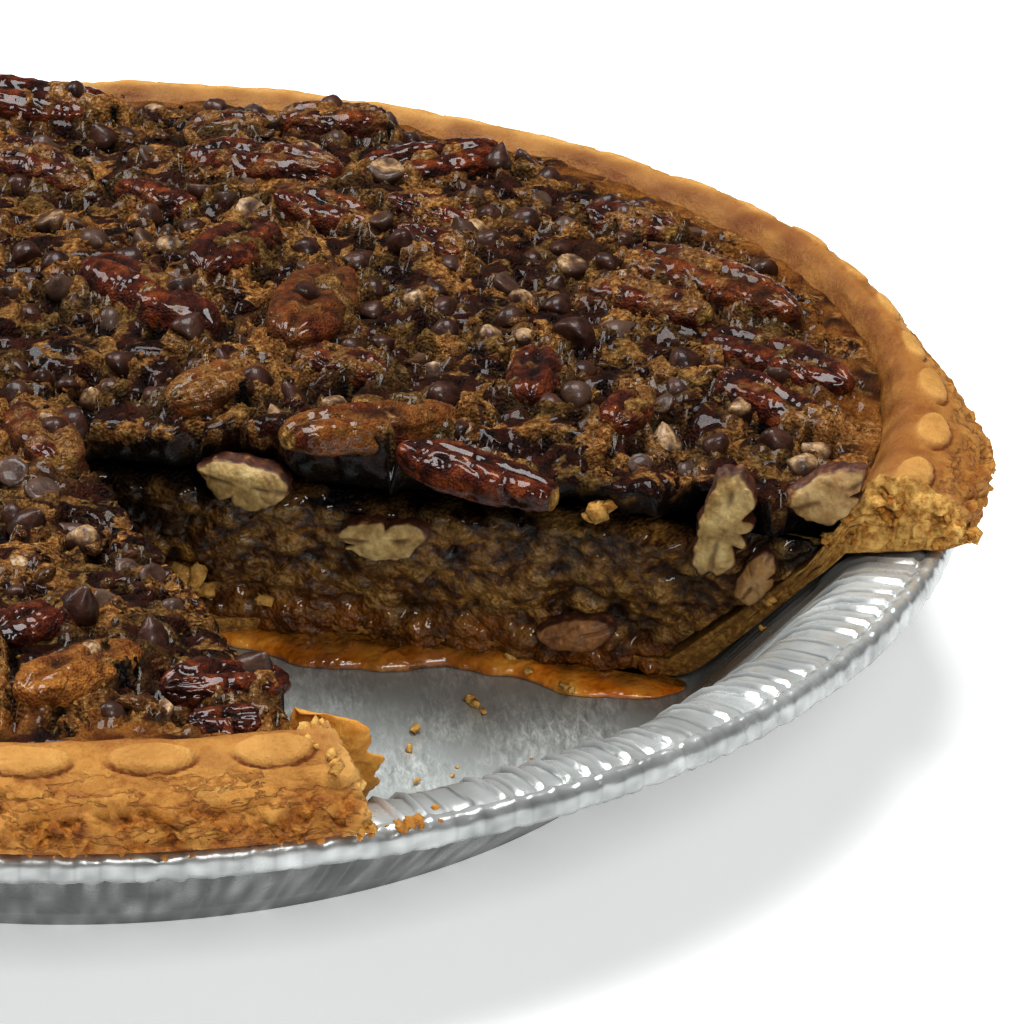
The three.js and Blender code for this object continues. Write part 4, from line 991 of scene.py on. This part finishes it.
def bakedHeight(x, y):
    # The height of the baked top, and its marks: lumps, holes, pores and cracks, lapping up round pecans and chips.
    flat, r = xyz(x, y, 0), np.hypot(x, y)
    swirled = flat + 1.2 * xyz(noise(flat, 3, 88), noise(flat, 3, 89), 0)
    over, toNut = nutHeights(x, y)
    holes, holeTag = bubbles(swirled, 5.4, 94, True)
    pores, poreTag = bubbles(swirled, 2.1, 95, True)
    froth, _ = bubbles(flat, 1.5, 96, True)
    holeSize = 0.1 + 0.24 * holeTag
    pit = (holeTag > 0.42) * (1 - smooth(holes, holeSize * 0.7, holeSize))
    pore = (poreTag > 0.4) * (1 - smooth(pores, 0.1, 0.24))
    crack = creases(swirled, 8, 90, 0.02, 0.09) * patches(flat, 14, 84, -0.15, 0.15)
    swell = 1.1 * noise(flat, 7.5, 97) + 0.7 * noise(flat, 3.4, 98) + 0.22 * rough(flat, 1.7, 2, 99)
    lap = 1.9 * hump(np.maximum(toNut, 0), 1.6) * patches(flat, 4.5, 100, -0.25, 0.3)
    moat = 2.2 * hump(toNut - 0.6, 0.5) * patches(flat, 5, 101, 0.05, 0.3)
    places, radii, _ = chipPlaces()
    toChip = np.full(np.shape(x), 99.0)
    for place, radius in zip(places, radii):
        toChip = np.minimum(toChip, np.hypot(x - place[0], y - place[1]) - radius)
    collar = 0.9 * hump(toChip, 0.8) * patches(flat, 3.5, 83, -0.2, 0.2)
    gap = 1.8 * hump(toChip - 0.3, 0.4) * patches(flat, 3.5, 82, 0.05, 0.3)
    z = topHeight(x, y) + swell + 0.3 * (0.45 - froth) + lap + collar
    z = z - moat - gap - 4.2 * pit - 1.1 * pore - 2.4 * crack
    film = smooth(noise(flat, 6, 87) + 0.6 * noise(flat, 2.2, 86), 0.0, 0.5)  # where foam lies over the pecans
    onNut = over - 1.3 + 1.55 * film + 0.25 * rough(flat, 1.4, 2, 81)
    z = np.where(toNut < 0, np.maximum(np.minimum(z, over - 0.8), onNut), z)
    atCrust = smooth(r, *bakedTop["crustFrom"])
    z = z * (1 - atCrust) + (topHeight(x, y) - 0.3 + 0.6 * noise(flat, 4, 102)) * atCrust
    # Painted shade, with dark caramel, in the holes, pores, cracks and hollows round pecans and chips.
    hollowShade = np.clip(pit + 0.8 * pore + 0.8 * crack + 0.45 * moat + 0.45 * gap, 0, 1)
    return z, {
        "pit": hollowShade * (1 - atCrust) * (toNut > -1),
        "caramel": 0.9 * smooth(r, 89, 97) * patches(flat, 6, 105, -0.4, 0.3),
        "film": np.clip(film * (toNut < 0) + 0.8 * lap / 1.9 + collar, 0, 1),
    }


def toppingSheet(finish):
    # Height over a square mesh clipped to the outline, with an undercut wall round it down to the filling.
    steps = np.arange(-bakedTop["span"], bakedTop["span"], bakedTop["pitch"])
    x, y = np.meshgrid(steps, steps)
    quads = gridFaces(len(steps), len(steps))
    inside = (topEdge(x, y) > 0).ravel()
    quads = quads[inside[quads].all(1)]
    used, quads = np.unique(quads, return_inverse=True)
    quads = quads.reshape(-1, 4)
    x, y = x.ravel()[used], y.ravel()[used]
    edges = np.stack([quads, np.roll(quads, -1, 1)], -1).reshape(-1, 2)
    key = np.sort(edges, 1) @ (len(used), 1)
    _, first, count = np.unique(key, return_index=True, return_counts=True)
    rim = edges[first[count == 1]]
    border = np.unique(rim)
    for _ in range(2):  # the outermost points move onto the outline
        bx, by = x[border], y[border]
        here, step = topEdge(bx, by), 0.08
        gx, gy = (topEdge(bx + step, by) - here) / step, (topEdge(bx, by + step) - here) / step
        size = np.maximum(gx ** 2 + gy ** 2, 0.3)
        shift = np.clip(here, -0.4, 0.4)
        x[border], y[border] = bx - shift * gx / size, by - shift * gy / size
    z, masks = bakedHeight(x, y)
    top = xyz(x, y, z)
    # The wall: each row lower and further in, lumpy as it goes.
    bx, by = x[border], y[border]
    atRound = smooth(np.hypot(bx, by), 97.0, 98.6)[:, None]
    nearer = fromTip(bx, by, nearOut) > fromTip(bx, by, farOut)
    into = np.where(nearer[:, None], nearOut, farOut) * (1 - atRound) - np.stack([bx, by], 1) / 100 * atRound * 0.3
    besidePastry = smooth(fromTip(bx, by, farAlong), *bakedTop["besidePastry"]) * ~nearer
    walls = []
    for row in range(1, bakedTop["wallRows"] + 1):
        t = row / bakedTop["wallRows"]
        spot = np.stack([bx, by, z[border] * (1 - t) + bakedTop["underside"] * t], -1)
        belly = 1.1 * math.sin(math.pi * t) ** 0.6 * (1 + 0.9 * noise(spot, 3.2, 103))
        tuck = bakedTop["undercut"] * t ** 1.6 - belly
        tuck = tuck + 0.5 * rough(spot, 1.7, 2, 104) if t < 1 else bakedTop["undercut"] + 0 * tuck
        tuck = tuck * (1 - 0.8 * besidePastry)
        spot[:, :2] += into * tuck[:, None]
        walls.append(spot)
    number = np.full(len(x), -1)
    number[border] = np.arange(len(border))
    a, b = rim[:, 0], rim[:, 1]
    faces = [quads]
    for row in range(bakedTop["wallRows"]):
        lower = len(x) + row * len(border) + number
        upper = np.arange(len(x)) if row == 0 else len(x) + (row - 1) * len(border) + number
        faces.append(np.stack([upper[b], upper[a], lower[a], lower[b]], 1))
    wallPlaces = np.concatenate([*walls, np.broadcast_to((*behindTip, bakedTop["underside"]), (2, 3))])
    points = np.concatenate([top, wallPlaces])
    hub = np.full(len(rim), len(points) - 2)  # the underside runs to one place, given twice so that all are quads
    faces.append(np.stack([lower[b], lower[a], hub, hub + 1], 1))
    # Painted shade on the wall under the top's edge, deeper lower down, in patches.
    wallShade = 0.6 * patches(wallPlaces, 3, 106, -0.2, 0.5) + smooth(pie["edge"] - wallPlaces[:, 2], 1.5, 5)
    masks = {"pit": np.r_[masks["pit"], np.clip(wallShade, 0, 1)],
             **{key: np.pad(masks[key], (0, len(wallShade))) for key in ("caramel", "film")}}
    addPiece("baked_top", points, np.concatenate(faces), finish, ["topping"], masks)


# Chocolate chips.

chips = {
    "columns": 12, "radius": (1.5, 2.2), "size": 0.68, "wanted": 330, "clear": -0.3, "seed": 77, "reach": 95,
    "tries": 9000, "onNuts": 0.15, "kinds": (0.5, 0.25, 0.25), "capped": 0.14,  # shares, each from 0 to 1
    # the large ones, listed: pixel across, pixel down, radius, kind (0 dome, 1 teardrop, 2 flat disc)
    "known": [
        (62, 100, 3.4, 2), (386, 181, 3.6, 2), (497, 172, 3.4, 1), (250, 210, 3.4, 2), (103, 140, 3.4, 1),
        (291, 120, 3.2, 2), (331, 128, 3.0, 0), (395, 128, 3.0, 2), (255, 115, 3.0, 0), (145, 238, 3.2, 2),
        (95, 243, 3.0, 1), (42, 165, 3.2, 0), (359, 260, 3.3, 1), (402, 250, 3.0, 0), (571, 268, 3.2, 2),
        (450, 262, 3.0, 0), (606, 208, 3.0, 0), (475, 225, 2.8, 0), (548, 178, 3.0, 0), (525, 222, 3.2, 0),
        (188, 340, 3.4, 1), (575, 335, 4.4, 0), (620, 330, 3.6, 1), (684, 360, 3.4, 0), (306, 318, 2.8, 1),
        (255, 390, 3.2, 0), (290, 388, 2.8, 1), (665, 436, 3.8, 1), (400, 330, 2.8, 0), (414, 300, 2.8, 0),
        (372, 305, 2.6, 0), (445, 330, 2.8, 0), (120, 365, 3.0, 1), (70, 430, 3.4, 0), (55, 445, 3.0, 0),
        (30, 525, 3.8, 1), (42, 495, 3.2, 2), (70, 525, 2.8, 1), (15, 390, 3.6, 0), (80, 620, 3.6, 1),
        (255, 680, 3.8, 1), (775, 445, 3.2, 0), (655, 205, 2.8, 0), (160, 100, 2.8, 0),
        (47, 165, 2.6, 1), (20, 110, 2.8, 0), (110, 315, 2.8, 0), (60, 290, 3.0, 1), (30, 310, 2.8, 0),
    ],
}


def chipShapes(radii, heights, kinds):
    # Profiles turned about Z, from the middle of the base round and up: a dome, a teardrop with a nib, a flat disc.
    dome = [(0, -0.5), (0.9, -0.5), (1, -0.3), (0.93, 0.2), (0.66, 0.62), (0.3, 0.88), (0, 0.95)]
    drop = [(0, -0.5), (0.9, -0.5), (1, -0.3), (0.86, 0.2), (0.5, 0.66), (0.22, 1.0), (0, 1.2)]
    disc = [(0, -0.9), (0.4, -0.8), (0.78, -0.3), (1, 0.25), (0.93, 0.42), (0.55, 0.4), (0, 0.38)]
    profiles = np.array([dome, drop, disc])[kinds]
    a = allRound(chips["columns"])
    r, z = (profiles[:, :, n, None] * size[:, None, None] for n, size in enumerate((radii, heights)))
    points = turned(r, a, z)
    rows = points.shape[1]
    paleTip = np.zeros((3, rows))
    paleTip[1, -1] = 0.8
    paleTip[2, -4:] = 0.6, 1.0, 0.5, 0.4
    bloom = np.repeat(paleTip[kinds][:, :, None], chips["columns"], 2)
    return points.reshape(len(radii), -1, 3), gridFaces(rows, chips["columns"], True), bloom


def chipPlaces():  # places, radii and kinds: those listed first, then more wherever there is room
    if "drawn" in chips:
        return chips["drawn"]
    draw, count = np.random.default_rng(chips["seed"]), chips["tries"]
    places = [underPixel(px, py)[:2] for px, py, _, _ in chips["known"]]
    places = [place * min(1, chips["reach"] / math.hypot(*place)) for place in places]
    radii = [radius * chips["size"] for _, _, radius, _ in chips["known"]]
    kinds = [kind for _, _, _, kind in chips["known"]]
    tries = draw.uniform(-chips["reach"], chips["reach"], (count, 2))
    sizes = draw.uniform(*chips["radius"], count)
    _, toNut = nutHeights(*tries.T)
    clump = noise(np.c_[tries, 0 * sizes], 16, 111)
    free = (np.hypot(*tries.T) < chips["reach"]) & (behindCut(*tries.T) > 4) & (clump > -0.25)
    free &= (toNut > 0.3) | ((draw.random(count) < chips["onNuts"]) & (toNut < -2.2))
    for place, size in zip(tries[free], sizes[free]):
        apart = np.hypot(*(np.array(places) - place).T) - np.array(radii) - size
        if apart.min() > chips["clear"] and len(places) < chips["wanted"]:
            places.append(place)
            radii.append(size)
            kinds.append(draw.choice(3, p=chips["kinds"]))
    chips["drawn"] = np.array(places), np.array(radii), np.array(kinds)
    return chips["drawn"]


def chocolateChips(finish):  # copies of the three profiles, tilted, half sunk into the top and a little misshapen
    places, radii, kinds = chipPlaces()
    draw = np.random.default_rng(chips["seed"] + 1)
    heights = radii * draw.uniform(0.85, 1.15, len(radii))
    shapes, faces, bloom = chipShapes(radii, heights, kinds)
    tilt = draw.normal(0, 0.6, (len(radii), 2))
    turns = np.array([turnTo(draw.uniform(0, 6.3), *lean) for lean in tilt])
    onNut, _ = nutHeights(*places.T)
    ground, _ = bakedHeight(*places.T)
    ground = np.maximum(np.maximum(ground, topHeight(*places.T) - 0.6), onNut - 0.6)
    z = ground - draw.uniform(-0.2, 0.9, len(radii))
    points, faces = copies(shapes, faces, turns, np.c_[places, z])
    points = points + 0.35 * shake(points, 1.9, 112)
    high = points[:, 2] > np.repeat(z + heights * 0.35, shapes.shape[1])
    capped = np.repeat(draw.random(len(radii)) < chips["capped"], shapes.shape[1]) * high
    bloom = 0.6 * bloom.ravel() * (0.5 + noise(points, 1.2, 116)) + 0.3 * patches(points, 9, 117, 0.1, 0.5)
    foam = 0.85 * capped * patches(points, 1.6, 118, -0.25, 0.1)
    addPiece("chocolate_chips", points, faces, finish, (), {"bloom": np.clip(bloom, 0, 1), "foam": foam})


# Bits and crumbs.

bits = {
    "rows": 6, "columns": 7, "seed": 301,  # of each lump
    "foam": {"tries": 5200, "most": 1500, "within": (97, 96), "behind": 0.5, "onNuts": 0.35, "filmed": 0.65},
    "nuts": {"tries": 700, "most": 70, "within": (95, 93), "behind": 3.5, "clear": 1.2, "size": (0.9, 2.1)},
}


def scatter(name, places, sizes, finish, seed, marks, flat=0.75):
    # Small angular lumps: a ball of a few faces each, every corner drawn in or out, then stretched and turned.
    draw, around, count = np.random.default_rng(seed), bits["columns"], len(places)
    up, bearing = np.linspace(0, math.pi, bits["rows"])[:, None], allRound(around)
    ball = turned(np.sin(up), bearing, np.cos(up)).reshape(-1, 3)
    corners = draw.uniform(0.5, 1.25, (count, len(ball), 1))
    corners[:, :around], corners[:, -around:] = corners[:, :1], corners[:, -1:]  # one corner at each pole
    shapes = ball[None] * corners * draw.uniform(0.6, 1.4, (count, 1, 3)) * (1, 1, flat)
    shapes = shapes * np.asarray(sizes)[:, None, None]
    turns = np.array([turnTo(*draw.uniform(-1, 1, 3) * (3.1, 0.6, 0.6)) for _ in places])
    points, faces = copies(shapes, gridFaces(bits["rows"], around, True), turns, np.asarray(places, float))
    points = points + 0.3 * shake(points, 0.9, 361)
    points[:, 2] = np.maximum(points[:, 2], tin["sheet"])
    marks = {key: np.repeat(np.broadcast_to(values, count), len(ball)) for key, values in marks.items()}
    addPiece(name, points, faces, finish, (), marks)


def strewn(draw, rule, keep):  # random places on the top, behind the cuts, that a test of the nearest nut keeps
    (half, within), count = rule["within"], rule["tries"]
    places = draw.uniform(-half, half, (count, 2))
    _, toNut = nutHeights(*places.T)
    free = (np.hypot(*places.T) < within) & (behindCut(*places.T) > rule["behind"]) & keep(toNut)
    return places[free][:rule["most"]]


def foamCrumbs(finish):  # crumbs of baked foam all over the top, fewer on the pecans
    draw, rule = np.random.default_rng(bits["seed"]), bits["foam"]
    places = strewn(draw, rule, lambda toNut: (toNut > 0) | (draw.random(len(toNut)) < rule["onNuts"]))
    sizes = 0.18 + 0.4 * draw.random(len(places)) ** 2
    onNut, toNut = nutHeights(*places.T)
    ground, _ = bakedHeight(*places.T)
    z = np.where(toNut < 0, onNut - 0.1, ground + sizes * 0.25)
    marks = {"film": draw.random(len(places)) > 1 - rule["filmed"]}
    scatter("foam_crumbs", np.c_[places, z], sizes, finish, bits["seed"] + 1, marks)


def nutBits(finish):  # broken bits of pecan between the halves
    draw, rule = np.random.default_rng(bits["seed"] + 5), bits["nuts"]
    places = strewn(draw, rule, lambda toNut: toNut > rule["clear"])
    count = len(places)
    sizes = draw.uniform(*rule["size"], count)
    marks = {"film": draw.uniform(0.2, 1, count), "groove": 0.55, "golden": 0.6 * (draw.random(count) > 0.85)}
    ground = topHeight(*places.T) + 0.1
    scatter("nut_bits", np.c_[places, ground], sizes, finish, bits["seed"] + 6, marks, 0.6)


crumbs = {
    "byWall": 46, "wallRadius": (35, 76), "grains": 420, "atEnds": 300,
    # listed, each with its pixel across, pixel down and size: first the height that it is seen at, the height
    # of its middle, the share of its size added to that, and how pale it is
    "fallen": (
        (0.8, 0.6, 0.45, 1.0, ((475, 705, 1.0), (470, 700, 0.7), (483, 712, 0.6), (415, 730, 0.9), (410, 749, 0.7))),
        (2.4, 2.4, 0, 0.9, ((509, 656, 0.8), (528, 671, 0.7), (564, 686, 1.0), (572, 690, 0.6), (419, 664, 0.4))),
        (27.2, 27.3, 0, 0.2, ((410, 824, 1.3), (418, 820, 0.9), (403, 828, 0.8), (422, 827, 0.6))),
        (36.2, 36.0, 0, 0.95, (
            (297, 738, 1.3), (305, 731, 1.2), (313, 727, 1.5), (320, 733, 1.3), (326, 741, 1.2), (331, 752, 1.0),
            (309, 741, 1.2), (318, 746, 1.0), (301, 729, 0.8), (324, 724, 0.9), (336, 765, 0.9))),
    ),
    "caught": (  # golden lumps of crust in the far cut
        (183, 580, 2.0), (198, 575, 1.8), (208, 590, 1.3), (175, 595, 1.2), (190, 594, 1.4),
        (600, 512, 1.7), (612, 505, 1.5), (625, 498, 1.1), (590, 518, 1.0),
        (262, 600, 1.2), (770, 600, 0.8), (735, 660, 0.9), (762, 628, 0.7),
    ),
    "caughtPale": 0.8,
    # heaped at the cut ends: distance along the far and the near cut, and the heights between which they lie
    "spread": ((96, 119), (93, 112)), "radius": (95, 114.5),
    "heapFoot": ((95, 101, 112, 114), (26.5, 27.5, 28.6, 29.5)),
    "heapHead": ((96, 101, 107, 114), (26.5, 34, 35.6, 30.5)),
}


def pastryCrumbs(finish):
    # Crumbs of crust: on the tin's floor and flange, along the foot of the rim, and heaped at both cut ends.
    draw = np.random.default_rng(bits["seed"] + 9)
    places, sizes, pale = [], [], []

    def drop(x, y, z, size, inner):
        places.append((x, y, z))
        sizes.append(size)
        pale.append(inner)

    for _ in range(crumbs["byWall"]):  # along the tin's wall and floor in the gap
        bearing = draw.uniform(nearBearing - 2 * math.pi + 0.06, farBearing - 0.06)
        r, size = draw.uniform(*crumbs["wallRadius"]), draw.uniform(0.15, 0.5)
        x, y = r * math.cos(bearing), r * math.sin(bearing)
        if behindCut(x, y) < -9:
            drop(x, y, 0.55 + size * 0.5, size, 0.9)
    for seenAt, middle, raised, inner, known in crumbs["fallen"]:
        for px, py, size in known:
            x, y, _ = underPixel(px, py, seenAt)
            drop(x, y, middle + size * raised, size, inner)
    for px, py, size in crumbs["caught"]:
        drop(*onFarCut(px, py), size, crumbs["caughtPale"])
    for _ in range(crumbs["grains"]):  # loose grains under the rim's outer edge, on the rolled tin
        bearing = draw.uniform(farBearing, nearBearing)
        x, y = math.cos(bearing), math.sin(bearing)
        r, z = pressed(113.2 + draw.normal(0, 0.5), 29.0 + draw.normal(0, 0.5), x, y)
        drop(x * r, y * r, z, draw.uniform(0.2, 0.62), draw.random() * 0.5)
    for (out, along), spread, back in zip(cuts, crumbs["spread"], (0, crust["nearBack"])):
        for _ in range(crumbs["atEnds"]):
            place = tip + along * draw.uniform(*spread) + out * (draw.uniform(-0.3, 1.2) + back)
            r = math.hypot(*place)
            if crumbs["radius"][0] < r < crumbs["radius"][1]:
                low, high = (np.interp(r, *crumbs[end]) for end in ("heapFoot", "heapHead"))
                drop(*place, draw.uniform(low, high), 0.2 + 0.8 * draw.random() ** 3, draw.uniform(0, 0.7))
    pale = np.array(pale)
    marks = {"inner": pale, "crumb": 0.7 * (1 - pale), "amber": 0.35 * (1 - pale)}
    scatter("pastry_crumbs", places, sizes, finish, bits["seed"] + 10, marks)


flakes = {
    # outline of the side crust that stayed standing past the near cut: height, how far past, as in the solid
    "heights": (9, 13, 17, 19.5, 21.5, 25, 27, 28.7, 30.5, 33, 36, 37.5),
    "past": (1.5, 3.4, 5.2, 6.2, 6.8, 5.8, 5.2, 6.4, 4.2, 5.2, 5.0, 2.0),
    "root": -5, "thick": 1.3, "inset": 0.2, "rows": 120, "columns": 40, "fold": 5.0,
}


def sideFlap(finish):
    # A thin ragged sheet inside the pastry's wall: t runs past the cut, h up, with a front and a back skin.
    h = np.linspace(0, 1, flakes["rows"])[:, None]
    v = np.linspace(0, 1, flakes["columns"] * 2, endpoint=False)[None, :]
    t, side = 1 - np.abs(1 - 2 * v), np.where(v > 0.5, 0.5, -0.5)
    z = flakes["heights"][0] + (flakes["heights"][-1] - flakes["heights"][0]) * h
    key = xyz(z, 0, 0 * v)
    past = np.interp(z, flakes["heights"], flakes["past"]) + 0.5 * noise(key, 2.2, 131) + 0.4 * noise(key, 0.9, 132)
    taper = np.round(np.sin(math.pi * h), 6).clip(0) ** 0.25
    reach = flakes["root"] + (past - flakes["root"]) * t * taper
    apart = flakes["thick"] * (0.5 + side * np.sqrt(np.clip(1 - t ** 6, 0, 1)) * taper)
    fold = flakes["fold"] * smooth(z, 24, 40) * (1 - t) ** 2 * taper  # its root folds in towards the filling
    r = pastryInside(z) + flakes["inset"] + apart - fold
    points = turned(r, math.atan2(pie["nearEnd"][1], pie["nearEnd"][0]) + reach / r, z)
    points += 0.6 * shake(points, 3.2, 133, 3) * taper[..., None]
    addPiece("side_flap", points, gridFaces(*points.shape[:2], True), finish, (),
             {"amber": 0.75, "inner": 0.8, "soaked": 0.15 * (1 - t + 0 * r)})


# Syrup.

pool = {
    "from": 6, "to": 79, "clear": 0.6, "wide": 4.1, "bulge": 2.0, "floor": 0.6, "deep": 1.9, "leanAt": 2.4,
    "waves": 12.2, "start": -3.05, "ripples": 41, "tuck": 2.2, "rightMore": 2.6, "rows": 260, "columns": 52,
}


def syrupPool(finish):
    # A section carried along the foot of the far cut: flat below, domed above, a wavy front, pointed at both ends.
    k = np.linspace(0, 1, pool["rows"])[:, None]
    v = np.linspace(0, 1, pool["columns"], endpoint=False)[None, :]
    taper = np.sin(k * math.pi).clip(0) ** 0.4
    wave = pool["bulge"] * np.sin(k * pool["waves"] + pool["start"]) + 0.5 * np.sin(k * pool["ripples"])
    reach = (pool["wide"] + pool["tuck"] + wave + pool["rightMore"] * smooth(k, 0.6, 0.95)) * taper
    out = 1 - np.abs(1 - 2 * v)  # from under the filling to the front, and back below
    s = pool["from"] + (pool["to"] - pool["from"]) * k + 0 * v
    over = pool["clear"] - pool["tuck"] * taper + reach * out + 0.5 * noise(xyz(s, 0, 0), 3.1, 124) * out * taper
    flat = tip + farAlong * s[..., None] + farOut * (leanAt(pool["leanAt"]) - over)[..., None]
    rise = pool["deep"] * np.sqrt(np.clip(1 - out ** 3, 0, 1)) * taper * (v < 0.5)
    points = np.concatenate([flat, (pool["floor"] + rise)[..., None]], -1)
    points[..., 2] += (0.3 * noise(points, 4, 121) + 0.3 * noise(points, 1.9, 123)) * (v < 0.5) * (1 - out) * taper
    between = smooth(k, 0.22, 0.36) * (1 - smooth(k, 0.62, 0.74))  # the stretch between the two bright pools
    deep = np.clip(1 - smooth(out + 0.3 * noise(points, 4, 122), 0.3, 0.8) + 0.6 * between, 0, 1)
    addPiece("syrup_pool", points, gridFaces(*points.shape[:2], True), finish, ["syrup"], {"deep": deep})


# Stage.

stage = {
    "floor": 4.0, "paper": tint(240, 242, 243), "glow": 0.43, "sky": (1.0, 0.97, 0.93, 1), "skyLight": 0.1,
    "contrast": 0.9,
    # name: place in metres, size, strength in watts
    "lamps": {"above": ((0.0, 0.1, 1.3), 0.7, 20), "window": ((-1.1, 0.7, 1.0), 0.7, 12),
              "front": ((0.3, -1.6, 1.3), 0.6, 17)},
}


def addStage():  # a square of pale paper, a dim sky and three square lamps that face the middle
    paper = Finish("paper", 0.9, Base_Color=stage["paper"], Emission_Color=(1, 1, 1, 1),
                   Emission_Strength=stage["glow"])
    side = stage["floor"] / 2
    mesh = bpy.data.meshes.new("table")
    mesh.from_pydata([(-side, -side, 0), (side, -side, 0), (side, side, 0), (-side, side, 0)], [], [(0, 1, 2, 3)])
    mesh.materials.append(paper.material)
    addObject("table", mesh)
    world = bpy.data.worlds.new("studio")
    world.use_nodes = True
    colour, strength = world.node_tree.nodes["Background"].inputs[:2]
    colour.default_value, strength.default_value = stage["sky"], stage["skyLight"]
    bpy.context.scene.world = world
    for name, (place, size, watts) in stage["lamps"].items():
        lamp = bpy.data.lights.new(name, "AREA")
        lamp.shape, lamp.size, lamp.energy = "SQUARE", size, watts
        facing = (-Vector(place)).to_track_quat("-Z", "Y").to_matrix().to_4x4()
        addObject(name, lamp).matrix_world = Matrix.Translation(place) @ facing
    bpy.context.scene.view_settings.view_transform = "Standard"
    bpy.context.scene.view_settings.gamma = stage["contrast"]
    print(f"stage: {len(stage['lamps'])} lamps")


nutPlaces = [nutFrame(name) for name in nutNodes]
addCamera()
addStage()
bakedPastry, foam, nutSkin = pastryFinish(), toppingFinish(), nutFinish()
foilTin(foilFinish())
pastryCase(bakedPastry)
fillingBody(fillingFinish())
toppingSheet(foam)
pecanHalves(nutSkin)
slicedNuts(cutNutFinish())
chocolateChips(chocolateFinish())
foamCrumbs(foam)
nutBits(nutSkin)
pastryCrumbs(bakedPastry)
sideFlap(bakedPastry)
syrupPool(syrupFinish())
